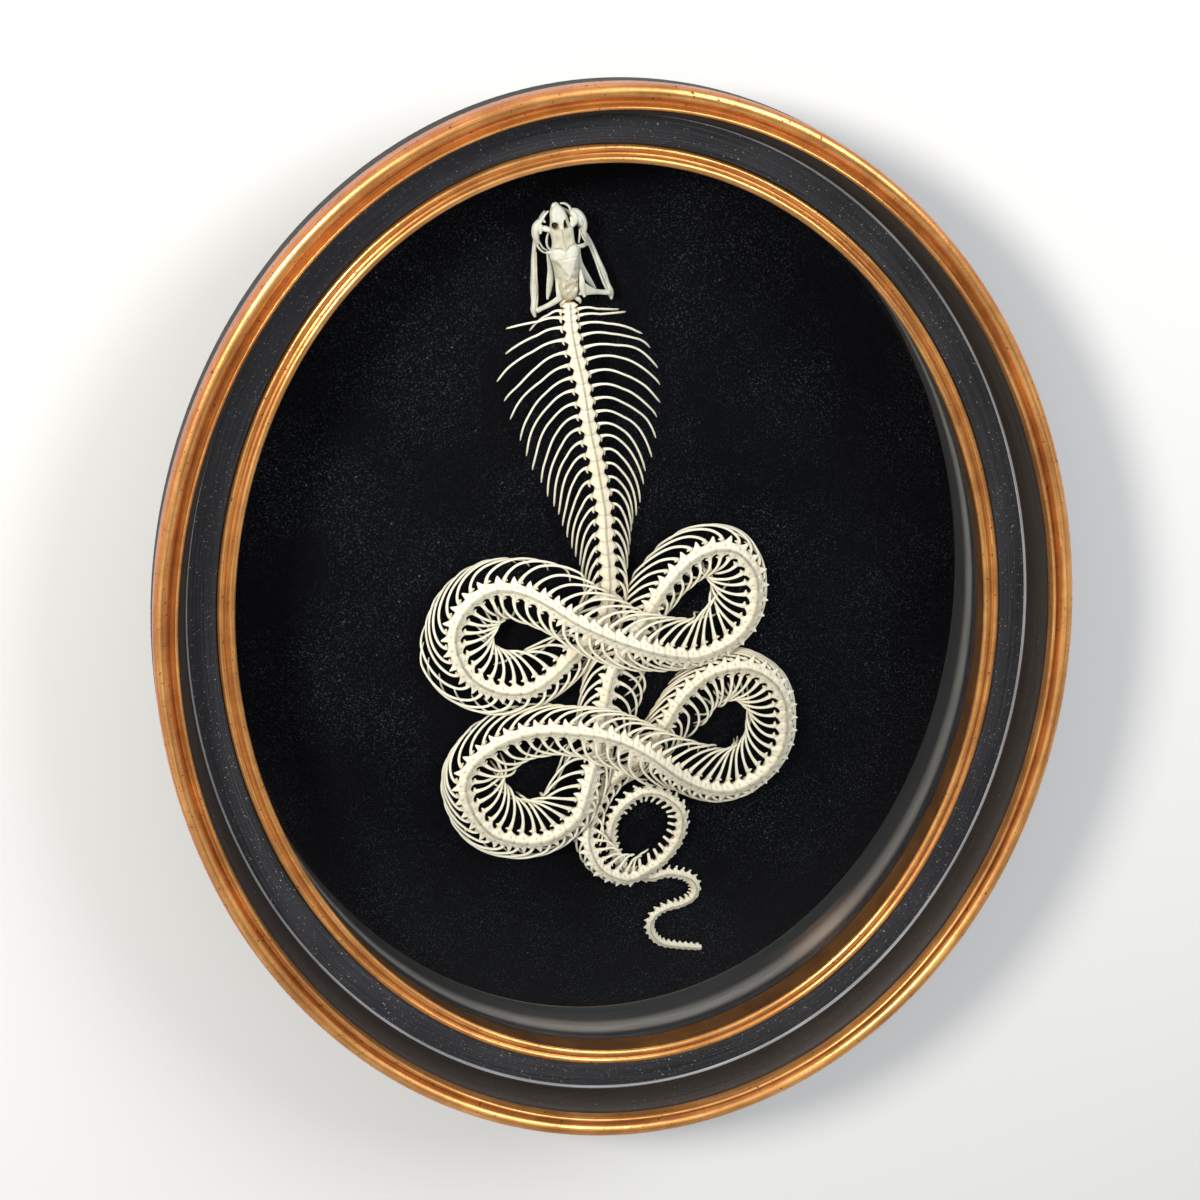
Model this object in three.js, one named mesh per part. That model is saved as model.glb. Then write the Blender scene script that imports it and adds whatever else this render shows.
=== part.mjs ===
// A cobra skeleton laid in loops on velvet, under glass, in a deep oval frame.
// The frame lies on its back: +Z comes out through the glass, +Y points to the snake's head,
// +X runs across the frame, and the origin is the middle of the back. All sizes are in mm.
import * as THREE from "three";

// ---------- driving dimensions: frame ----------
const SIGHT = { x: 138, y: 176 };      // half sizes of the oval opening, nominally 11 by 14 inches
const SIGHT_Z = 45;                    // height of the sight edge above the back
const RAIL_TOP = 61.6;                 // height of the gilt outer rail
const RIM = 29.6;                      // how far the rail's outer edge stands outside the sight edge
const ARRIS = 16.4;                    // the same for the edge between the flat band and the cove
const LIP = 6.2;                       // the same for the gilt beads round the sight edge
const GLASS_TOP = 35;
const GLASS_THICK = 2;
const VELVET_TOP = 7.8;
const BOARD_THICK = 4;
const TUB_WALL = 5.5;                  // wall of the deep box behind the moulding
const TUB_TOP = 38;
const GAP = 0.3;                       // clearance between neighbouring pieces
const RING_STEPS = 36;                 // facets round each oval

// ---------- driving dimensions: skeleton ----------
const MID_GAP = 0.15;                  // half the cut between the left and right sides
const COLUMN = { top: 3.8, bottom: 2.8, tooth: 4.3, waist: 3.0 };
const RIB_RADIUS = 0.75;
const LOOP_RISE = 7.5;                 // loops whose heights differ by more may cross
const HOOD_END = 62;                   // distances along the column from the skull
const RIBS_END = 876;
const SKULL_AT = new THREE.Vector3(6.1, 120.9, VELVET_TOP + 11);
// How far each side's jaws stand out, as a factor: the jaws lie a little askew.
const SPREAD = {
  left: { maxilla: 1, pterygoid: 0.75, jaw: 0.86 },
  right: { maxilla: 1.15, pterygoid: 1.1, jaw: 1.12 },
};

// Waypoints of the column's middle: [x, y, height above the velvet].
const ROUTE = {
  neck: [[5.4, 120.2, 12], [4.5, 112, 12.5], [4.5, 101, 13], [5, 92, 13], [5, 82, 13], [5, 72, 12.5],
    [5.5, 61.5, 12], [5.5, 50.5, 12], [5.5, 39.5, 11.5], [4.5, 29, 11], [4, 16.5, 9.5], [2.5, 4, 8]],
  upperLeftLoop: [[-3.5, -9, 7.5], [-13.5, -15.5, 8], [-24.5, -21.5, 10], [-33, -24, 11],
    [-40.5, -23, 11], [-47.5, -19.5, 11], [-54, -12.5, 11], [-57, -4, 11], [-57, 4.5, 11],
    [-54, 11.5, 11], [-48, 17, 11], [-40.5, 19.5, 11], [-34, 18, 11], [-28, 15, 12.5]],
  upperCrossing: [[-22, 10.5, 15], [-12.5, 1.5, 18.5], [-0.5, -8, 19], [11.5, -16, 19],
    [20.5, -21.5, 17]],
  upperRightLoop: [[30, -26, 14.5], [40.5, -26, 12.5], [48, -24, 11], [54, -18.5, 11], [57.5, -10, 11],
    [58, -0.5, 11], [55, 7, 11], [51, 11.5, 11], [44.5, 13.5, 11], [37, 12.5, 11], [30.5, 9, 11],
    [23, 2, 10]],
  middle: [[17, -6, 8.5], [9.5, -16, 7.5], [0, -26, 8.2], [-5, -37.5, 8.5], [-8, -48.5, 8]],
  lowerLeftLoop: [[-11.5, -58, 9], [-15.5, -65, 11], [-19.5, -72.5, 13], [-23.5, -80, 13],
    [-30.5, -85.5, 12], [-39, -88, 11], [-48.5, -85.5, 11], [-57, -80, 11], [-61.5, -73, 11],
    [-64, -64.5, 11], [-64, -56, 11], [-61, -50, 11], [-56, -46, 11], [-47.5, -42.5, 11],
    [-38, -41, 12]],
  lowerCrossing: [[-28.5, -41.5, 14], [-20.5, -43, 17], [-11.5, -46, 19], [-3, -51.5, 19],
    [5, -59, 19], [14, -70.5, 17]],
  lowerRightLoop: [[22, -79.5, 14], [30, -85.5, 12], [38.5, -88, 11], [47.5, -86, 11], [55, -81, 11],
    [60, -73.5, 11], [62, -65.5, 11], [62.5, -56.5, 11], [60.5, -49, 11], [56, -42.5, 11],
    [50, -38, 11], [44, -36.5, 11], [37, -36.5, 11], [30.5, -39.5, 10], [23, -45.5, 9]],
  trunkEnd: [[17.5, -53, 8], [10.5, -62, 7], [1, -69.5, 6], [-8, -74.5, 5.3], [-13.5, -80.5, 5.3],
    [-18.5, -88, 6], [-21, -94, 8], [-21, -100, 10], [-19, -106.5, 11]],
  tailLoop: [[-14, -112, 11], [-8, -115.5, 10], [-1, -115, 8.5], [6.5, -113, 7], [12.5, -107.5, 7],
    [16, -101, 7], [16.5, -93.5, 7], [13.5, -88, 7], [9.5, -84, 7], [4, -82, 6.5], [-1.5, -83.5, 6],
    [-6, -87, 5], [-9.5, -92, 4], [-11.5, -98.5, 3.5], [-11, -106, 3.2], [-9, -113.5, 3.2]],
  tailTip: [[-4, -119, 3.5], [1.5, -121.5, 4], [7.5, -121.5, 4], [13.5, -124, 4], [17.5, -127.5, 4],
    [18.5, -132, 4], [16.5, -135.5, 4], [11.5, -137, 4], [6, -137, 4], [1, -138.5, 4], [-2, -142, 4],
    [-2, -147, 3.6], [1, -152.5, 3], [6.5, -156, 2.6], [15.5, -160, 2.2]],
};

// Lengths of the body, each cut into a left and a right side: name and where it ends.
const LENGTHS = [["hood", HOOD_END], ["neck", 136], ["upper_left_loop", 262], ["upper_crossing", 316],
  ["upper_right_loop", 434], ["middle", 498], ["lower_left_loop", 622], ["lower_crossing", 688],
  ["lower_right_loop", 815], ["trunk_end", 905], ["tail_loop", 1003], ["tail_tip", Infinity]];

// Tables of [distance along the column, value], read with straight lines between the entries.
const PITCH = [[0, 1.8], [1.8, 2.1], [3.8, 2.6], [6.4, 4], [10.5, 4.5], [15, 4.7], [25, 5], [45, 5],
  [55, 5.4], [700, 5.4], [730, 5.1], [780, 4.7], [880, 4.7], [905, 4.3], [945, 3.7], [985, 4.2]];
const GIRTH = [[0, 0.7], [60, 0.86], [120, 1], [760, 1], [880, 0.82], [960, 0.62], [1040, 0.4],
  [1085, 0.2]];
// How far a rib's tip trails behind its root.
const SWEEP = [[27, 20.5], [38, 24], [48, 26], [60, 25], [90, 19], [760, 18], [860, 11], [RIBS_END, 5]];
const SWEEP_LEFT = [[2, 7], [4, 2.7], [6.4, 6.6], [10.5, 9.8], [15, 15], ...SWEEP];
const SWEEP_RIGHT = [[2, 5], [4, 4.6], [6.4, 12.6], [10.5, 14], [15, 16], ...SWEEP];
// How far the rib tips stand out on each side, by the place of the tip.
const REACH_LEFT = [[6.8, 21.5], [8.4, 13.4], [13, 23.7], [20.3, 28.2], [30, 27.1], [40, 26], [46, 25],
  [62, 21.5], [73, 18], [90, 13.2], [105, 8.8], [130, 7], [146, 8.5], [160, 13.3], [190, 12], [210, 16],
  [235, 17], [245, 12.8], [260, 10], [280, 12], [290, 11.5], [320, 6.7], [345, 5.8], [370, 5],
  [385, 7.3], [395, 9.5], [410, 10.6], [447, 8], [495, 10.6], [505, 15.4], [520, 16], [545, 14.3],
  [570, 14.8], [580, 16.3], [590, 13], [610, 11.3], [650, 10.4], [680, 6.4], [700, 7.5], [740, 5.4],
  [760, 4.5], [795, 4.5], [810, 6], [840, 4.5], [880, 5]];
const REACH_RIGHT = [[8, 19.3], [10, 22], [20, 25.5], [25, 27.8], [33, 29.2], [40, 29.4], [48, 28.6],
  [62, 24.5], [74, 19], [90, 12.8], [115, 6.5], [146, 9.3], [170, 10.8], [190, 12.6], [197, 13.9],
  [210, 9.4], [230, 8.5], [240, 9.9], [258, 15.6], [270, 14.5], [290, 12.3], [315, 13.6], [327, 17.6],
  [345, 16.2], [365, 16], [390, 19], [397, 13], [415, 11.7], [450, 13], [466, 12], [490, 9.5], [520, 8],
  [540, 10.3], [575, 7.1], [590, 9], [610, 8.2], [655, 10.3], [680, 16.1], [712, 12.7], [735, 12.5],
  [780, 14.9], [795, 15.3], [812, 12], [840, 10.3], [872, 7.2], [884, 4.5]];

// ---------- helpers ----------
const material = (color, roughness, metalness = 0) =>
  new THREE.MeshStandardMaterial({ color, roughness, metalness });
const BONE = () => material(0xe9ddc2, 0.6);
const GILT = () => material(0xc98a3c, 0.35, 0.8);
const EBONY = () => material(0x17171a, 0.4);

/** Value of a table at a distance, with straight lines between its entries. */
function lookUp(table, distance) {
  const next = table.findIndex(([at]) => at > distance);
  if (next === 0) return table[0][1];
  if (next < 0) return table[table.length - 1][1];
  const [from, low] = table[next - 1];
  const [to, high] = table[next];
  return low + ((high - low) * (distance - from)) / (to - from);
}

/** Closed mesh from points and triangles, turned so that its faces point out. */
function closedMesh(name, points, faces, surface) {
  const volume = faces.reduce((sum, [a, b, c]) => {
    return sum + points[a].dot(new THREE.Vector3().crossVectors(points[b], points[c]));
  }, 0);
  const outward = volume > 0 ? faces : faces.map(([a, b, c]) => [a, c, b]);
  const geometry = new THREE.BufferGeometry().setFromPoints(points);
  geometry.setIndex(outward.flat());
  geometry.computeVertexNormals();
  const mesh = new THREE.Mesh(geometry, surface);
  mesh.name = name;
  return mesh;
}

/** Solid through a row of rings with equally many points, closed by a fan at each end. */
function loft(name, rings, surface) {
  const count = rings[0].length;
  const points = rings.flat();
  const faces = [];
  for (let ring = 0; ring + 1 < rings.length; ring += 1) {
    for (let i = 0; i < count; i += 1) {
      const a = ring * count + i;
      const b = ring * count + ((i + 1) % count);
      faces.push([a, b, a + count], [b, b + count, a + count]);
    }
  }
  const last = (rings.length - 1) * count;
  for (let i = 1; i + 1 < count; i += 1) {
    faces.push([0, i + 1, i], [last, last + i, last + i + 1]);
  }
  return closedMesh(name, points, faces, surface);
}

// ---------- frame ----------
/** Point of the oval that lies a given distance outside the sight edge. */
function ovalPoint(step, outside, z) {
  const angle = (step / RING_STEPS) * 2 * Math.PI;
  return new THREE.Vector3((SIGHT.x + outside) * Math.cos(angle), (SIGHT.y + outside) * Math.sin(angle), z);
}

/** Oval ring with a closed section of [distance outside the sight edge, height]. */
function ovalRing(name, section, surface) {
  const count = section.length;
  const points = [];
  const faces = [];
  for (let step = 0; step < RING_STEPS; step += 1) {
    section.forEach(([outside, z], i) => {
      points.push(ovalPoint(step, outside, z));
      const a = step * count + i;
      const b = step * count + ((i + 1) % count);
      const c = ((step + 1) % RING_STEPS) * count + i;
      const d = ((step + 1) % RING_STEPS) * count + ((i + 1) % count);
      faces.push([a, b, c], [b, d, c]);
    });
  }
  return closedMesh(name, points, faces, surface);
}

/** Flat oval plate between two heights. */
function ovalPlate(name, outside, low, high, surface) {
  const ring = (z) => Array.from({ length: RING_STEPS }, (_, step) => ovalPoint(step, outside, z));
  return loft(name, [ring(low), ring(high)], surface);
}

function buildFrame() {
  const inner = LIP + GAP;
  const railFoot = RAIL_TOP - 4.6;
  const rail = [[RIM, railFoot], [RIM, RAIL_TOP - 2.4], [RIM - 1.4, RAIL_TOP - 0.5], [RIM - 3, RAIL_TOP],
    [RIM - 5, RAIL_TOP - 0.7], [RIM - 6, RAIL_TOP - 3], [RIM - 8.4, RAIL_TOP - 0.2], [RIM - 8.4, railFoot]];
  const moulding = [[inner, SIGHT_Z - 0.4], [ARRIS, SIGHT_Z], [ARRIS + 1, SIGHT_Z + 4.6],
    [RIM - 8.6, railFoot - GAP], [RIM - 0.3, railFoot - GAP], [RIM - 0.3, railFoot - 10],
    [LIP + TUB_WALL + 4, TUB_TOP + GAP], [inner, TUB_TOP + GAP]];
  const lip = [[0, SIGHT_Z + 0.4], [0.8, SIGHT_Z + 1.7], [2.9, SIGHT_Z + 1.2], [4.1, SIGHT_Z + 1],
    [LIP - 0.8, SIGHT_Z + 1.2], [LIP, SIGHT_Z - 0.2], [LIP, GLASS_TOP + GAP], [1.5, GLASS_TOP + GAP]];
  const tub = [[inner, 0], [inner + TUB_WALL, 0], [inner + TUB_WALL, TUB_TOP], [inner, TUB_TOP]];
  const glassFoot = GLASS_TOP - GLASS_THICK;
  const lining = [[1.8, glassFoot - GAP], [3.9, VELVET_TOP + GAP], [LIP, VELVET_TOP + GAP],
    [LIP, glassFoot - GAP]];
  const glass = material(0xdfe8ea, 0.05);
  glass.transparent = true;
  glass.opacity = 0.15;
  return [
    ovalRing("frame_gilt_rail", rail, GILT()),
    ovalRing("frame_moulding", moulding, EBONY()),
    ovalRing("frame_sight_beads", lip, GILT()),
    ovalRing("frame_box_wall", tub, EBONY()),
    ovalRing("frame_lining", lining, material(0x6a6f73, 0.7)),
    ovalPlate("frame_glass", 4.6, glassFoot, GLASS_TOP, glass),
    ovalPlate("frame_velvet_board", LIP - 0.2, BOARD_THICK + GAP, VELVET_TOP, material(0x0d0e13, 0.95)),
    ovalPlate("frame_back_board", LIP, 0, BOARD_THICK, material(0x6b5338, 0.8)),
  ];
}

// ---------- column and ribs ----------
const route = new THREE.CatmullRomCurve3(
  Object.values(ROUTE).flat().map(([x, y, height]) => new THREE.Vector3(x, y, VELVET_TOP + height)),
  false, "centripetal");
route.arcLengthDivisions = 2000;
const routeLength = route.getLength();

/** Point beside the column: distance along it, distance to the given side (+1 left), height over it. */
function beside(distance, side, out, up) {
  const at = THREE.MathUtils.clamp(distance / routeLength, 0, 1);
  const point = route.getPointAt(at);
  const along = route.getTangentAt(at);
  const across = new THREE.Vector3(along.y, -along.x, 0).normalize();
  const over = distance - at * routeLength;
  return point.addScaledVector(along, over).addScaledVector(across, side * out)
    .add(new THREE.Vector3(0, 0, up));
}

/** How sharply the column bends towards a side, in 1/mm. */
function bendTowards(distance, side) {
  const step = 5;
  const before = route.getTangentAt(THREE.MathUtils.clamp((distance - step) / routeLength, 0, 1));
  const after = route.getTangentAt(THREE.MathUtils.clamp((distance + step) / routeLength, 0, 1));
  return (side * (before.y * after.x - before.x * after.y)) / (2 * step);
}

/** Distances of the vertebrae's front ends along the column, closer together at both ends. */
function vertebraPlaces() {
  const places = [0];
  while (places.at(-1) + lookUp(PITCH, places.at(-1)) < routeLength) {
    places.push(places.at(-1) + lookUp(PITCH, places.at(-1)));
  }
  return places;
}

// Points along the column, to keep its loops clear of each other.
const MARKS = Array.from({ length: Math.floor(routeLength / 3) }, (_, i) => ({
  distance: 3 * i,
  point: route.getPointAt((3 * i) / routeLength),
}));

/** Largest reach, up to the given one, whose tip is not nearer to another loop of the column. */
function clearReach(distance, side, reach) {
  let out = COLUMN.tooth;
  while (out < reach) {
    const tip = beside(distance, side, out, 0);
    const crowded = MARKS.some((mark) => Math.abs(mark.distance - distance) > 45
      && Math.abs(mark.point.z - tip.z) < LOOP_RISE
      && Math.hypot(mark.point.x - tip.x, mark.point.y - tip.y) < out + 2);
    if (crowded) return out;
    out += 0.5;
  }
  return reach;
}

/** Height that a rib's tip lies below the column: nearly to the velvet, but flatter over a crossing. */
function ribDrop(distance) {
  const height = beside(distance, 1, 0, 0).z - VELVET_TOP;
  return distance < HOOD_END + 30 ? 7.5 : lookUp([[2, 1], [11, 6.5], [16, 3.8], [20, 3.4]], height);
}

/** Middle line of one rib, from near its root to its tip. */
function ribLine(distance, side) {
  const bend = bendTowards(distance + 6, side);
  const trail = lookUp(side > 0 ? SWEEP_LEFT : SWEEP_RIGHT, distance);
  const sweep = trail / (1 + 20 * Math.max(bend, 0) + 3 * Math.max(-bend, 0));
  const tipAt = distance + sweep;
  const inner = Math.max(bendTowards(tipAt, side), 1e-3);
  const wanted = lookUp(side > 0 ? REACH_LEFT : REACH_RIGHT, tipAt);
  const reach = clearReach(tipAt, side, Math.min(wanted, 0.64 / inner));
  const drop = ribDrop(tipAt);
  const flare = distance < HOOD_END + 20 ? [[0.12, 0.5], [0.5, 0.87]] : [[0.2, 0.75]];
  const line = flare.map(([back, out]) => beside(distance + back * sweep, side, out * reach, -0.16 * drop));
  line.push(beside(tipAt, side, reach, -drop));
  return line;
}

/** Left (+1) or right (-1) side of a length of column, with its ribs grown from it. */
function columnSide(name, places, side) {
  const points = [];
  const faces = [];
  const put = (point) => points.push(point) - 1;
  const rows = places.map((distance, k) => {
    const girth = lookUp(GIRTH, distance);
    const pitch = k + 1 < places.length ? places[k + 1] - distance : 0;
    const isTail = distance > RIBS_END;
    const tooth = (isTail ? 1.2 : 1) * COLUMN.tooth * girth;
    return {
      distance,
      top: put(beside(distance, side, MID_GAP, COLUMN.top * girth)),
      bottom: put(beside(distance, side, MID_GAP, -COLUMN.bottom * girth)),
      tooth: put(beside(distance + 0.12 * pitch, side, tooth, 0.2 * girth)),
      waist: pitch ? put(beside(distance + 0.62 * pitch, side, COLUMN.waist * girth, -0.4 * girth)) : -1,
    };
  });
  for (let k = 0; k + 1 < rows.length; k += 1) {
    const a = rows[k];
    const b = rows[k + 1];
    faces.push([a.top, b.top, a.bottom], [b.top, b.bottom, a.bottom]);
    faces.push([a.top, a.tooth, a.waist], [a.top, a.waist, b.top], [b.top, a.waist, b.tooth]);
    faces.push([a.bottom, b.bottom, a.waist], [b.bottom, b.tooth, a.waist]);
    const root = [a.bottom, a.waist, a.tooth];
    if (a.distance < 1 || a.distance > RIBS_END) faces.push(root);
    else growRib(a.distance, side, root, put, faces);
  }
  const first = rows[0];
  const last = rows.at(-1);
  faces.push([first.top, first.bottom, first.tooth], [last.top, last.tooth, last.bottom]);
  return closedMesh(name, points, faces, BONE());
}

/** Three-sided rib from a root triangle to its tip: adds its points and faces. */
function growRib(distance, side, root, put, faces) {
  const line = ribLine(distance, side);
  const tip = put(line.at(-1));
  let ring = root;
  line.slice(0, -1).forEach((middle, i) => {
    const ahead = new THREE.Vector3().subVectors(line[i + 1], middle).setZ(0).normalize();
    const across = new THREE.Vector3(ahead.y, -ahead.x, 0).multiplyScalar(side * RIB_RADIUS);
    const lift = new THREE.Vector3(0, 0, RIB_RADIUS);
    const next = [
      put(middle.clone().sub(lift)),
      put(middle.clone().sub(across).addScaledVector(lift, 0.5)),
      put(middle.clone().add(across).addScaledVector(lift, 0.5)),
    ];
    ring.forEach((point, j) => {
      const k = (j + 1) % 3;
      faces.push([point, ring[k], next[k]], [point, next[k], next[j]]);
    });
    ring = next;
  });
  ring.forEach((point, j) => faces.push([point, ring[(j + 1) % 3], tip]));
}

function buildColumn() {
  const places = vertebraPlaces();
  const meshes = [];
  let from = 0;
  for (const [name, end] of LENGTHS) {
    const inside = places.filter((distance) => distance >= from && distance < end);
    const next = places.find((distance) => distance >= end) ?? routeLength;
    const stations = [...inside, next - GAP];
    meshes.push(columnSide(`${name}_left`, stations, 1), columnSide(`${name}_right`, stations, -1));
    from = end;
  }
  return meshes;
}

// ---------- skull ----------
/** Oval section across the skull: distance forward, sideways and up, half width and half height. */
function skullRing(forward, sideways, up, halfWidth, halfHeight, count) {
  return Array.from({ length: count }, (_, i) => {
    const angle = ((i + 0.5) / count) * 2 * Math.PI;
    const x = sideways + halfWidth * Math.cos(angle);
    return new THREE.Vector3(x, forward, up + halfHeight * Math.sin(angle)).add(SKULL_AT);
  });
}

/** Bone along a line of [forward, sideways, up, half width, half height], set out to its side. */
function skullBar(name, side, line) {
  return loft(name, line.map(([forward, out, up, halfWidth, halfHeight]) => {
    return skullRing(forward, -side * out, up, halfWidth, halfHeight, 6);
  }), BONE());
}

/** Bone that runs sideways: the same line, with its sections standing across X. */
function skullCrossBar(name, side, line) {
  return loft(name, line.map(([forward, out, up, halfWidth, halfHeight]) => {
    return Array.from({ length: 6 }, (_, i) => {
      const angle = ((i + 0.5) / 6) * 2 * Math.PI;
      const offset = new THREE.Vector3(0, halfWidth * Math.cos(angle), halfHeight * Math.sin(angle));
      return new THREE.Vector3(-side * out, forward, up).add(offset).add(SKULL_AT);
    });
  }), BONE());
}

function buildSkull() {
  const cranium = [[0.3, 0, -0.2, 2.1, 2], [1.5, 0, 0, 3, 2.7], [4, -0.2, 0.4, 3.7, 3.2],
    [8, 0, 0.8, 4.1, 3.4], [12, 0.3, 1.2, 4.5, 3.5], [15, 0.4, 1.6, 4.9, 3.4], [17.5, 0.5, 1.9, 5.5, 3.2],
    [19.2, 0.5, 2.1, 5.4, 3], [20.5, 0.5, 2.2, 4.3, 2.8], [22.5, 0.6, 2.2, 4, 2.6],
    [26.8, 0.4, 2, 4.4, 2.3], [30.4, 0.5, 1.2, 3.1, 1.8], [32.4, 0.4, 0.8, 2.6, 1.5],
    [34.9, 0.4, 0.3, 0.9, 0.7]];
  const meshes = [loft("skull_cranium", cranium.map(([forward, sideways, up, halfWidth, halfHeight]) => {
    return skullRing(forward, sideways, up, halfWidth, halfHeight, 10);
  }), BONE())];
  for (const [label, side] of [["left", 1], ["right", -1]]) {
    const maxilla = [[30.8, 5.2, 0.3, 0.6, 0.9], [28.2, 7.5, 0, 1.5, 1.7], [25, 8, -0.3, 1.2, 1.4],
      [21.5, 7.8, -1, 0.6, 0.8], [17.8, 7.2, -1.9, 0.5, 0.5]];
    const pterygoid = [[16.4, 6, -3.2, 0.6, 0.6], [12, 5.8, -4, 0.9, 0.5], [7, 6.6, -4.3, 1.3, 0.4],
      [3, 8.2, -4.3, 0.9, 0.4], [0.5, 9.4, -4.3, 0.4, 0.3]];
    const quadrate = [[3.4, 4.7, 1.6, 1.1, 0.8], [1.6, 7, 1, 1, 0.8], [-0.6, 10, -1, 0.9, 0.8],
      [-1.8, 12.8, -3, 1.1, 0.9]];
    const mandible = [[-5.4, 14.2, -6, 0.5, 0.7], [-2.6, 14.1, -5.8, 1.4, 1.4], [3, 13.1, -5.8, 1.2, 1.6],
      [10, 11.8, -6, 1, 1.7], [17, 10.3, -6.2, 0.8, 1.3], [24, 7.8, -6.4, 0.7, 1.1],
      [29, 5.2, -6.2, 0.6, 0.8], [31.5, 2.8, -6, 0.5, 0.6]];
    const { maxilla: upper, pterygoid: palate, jaw } = SPREAD[label];
    meshes.push(
      skullBar(`skull_maxilla_${label}`, side * upper, maxilla),
      skullBar(`skull_pterygoid_${label}`, side * palate, pterygoid),
      skullCrossBar(`skull_quadrate_${label}`, side * jaw, quadrate),
      skullBar(`skull_mandible_${label}`, side * jaw, mandible),
    );
  }
  return meshes;
}

const skeletonInFrame = new THREE.Group();
skeletonInFrame.add(...buildFrame(), ...buildColumn(), ...buildSkull());

export default skeletonInFrame;
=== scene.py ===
"""Cobra skeleton laid in loops on black velvet, under glass, in a deep oval frame."""

import math

import bpy
import numpy as np
from mathutils import Matrix, Vector


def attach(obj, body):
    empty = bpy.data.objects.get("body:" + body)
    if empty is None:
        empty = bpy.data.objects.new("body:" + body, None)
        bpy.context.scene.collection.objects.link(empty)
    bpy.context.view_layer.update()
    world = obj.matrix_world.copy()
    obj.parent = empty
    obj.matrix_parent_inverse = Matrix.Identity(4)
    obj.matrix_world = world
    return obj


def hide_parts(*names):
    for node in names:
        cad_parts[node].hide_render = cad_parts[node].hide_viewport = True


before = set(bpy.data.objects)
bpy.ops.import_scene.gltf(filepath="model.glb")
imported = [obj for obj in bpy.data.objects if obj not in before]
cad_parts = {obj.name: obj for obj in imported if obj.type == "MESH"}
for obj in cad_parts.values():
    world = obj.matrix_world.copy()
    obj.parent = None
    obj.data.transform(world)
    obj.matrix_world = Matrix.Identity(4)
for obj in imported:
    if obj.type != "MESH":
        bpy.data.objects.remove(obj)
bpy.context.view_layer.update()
rng = np.random.default_rng(7)
MM = 0.001

# ---------- sizes in mm, as in the CAD ----------
SIGHT = (138.0, 176.0)
SIGHT_Z = 45.0
RAIL_TOP = 61.6
RIM = 29.6
ARRIS = 16.4
LIP = 6.2
GLASS_TOP = 35.0
GLASS_THICK = 2.0
VELVET_TOP = 7.8
TUB_WALL = 5.5
TUB_TOP = 38.0
GAP = 0.3
VELVET_MARGIN = 3.7
RING_STEPS = 240
HOOD_END = 62.0
RIBS_END = 893.0
TANGLE_FROM = 850.0  # where the trunk's end and the tail's loop lie close together
OVER_TAIL_FROM = 856.0
LONG_PROCESSES_END = 962.0
OWN_LOOP = 45.0  # this near along the column, vertebrae don't crowd a rib
SAME_LEVEL = 7.5
RIB_ROOT = 0.56  # share of a vertebra's length
SKULL_AT = np.array([6.1, 120.9, VELVET_TOP + 11])

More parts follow.
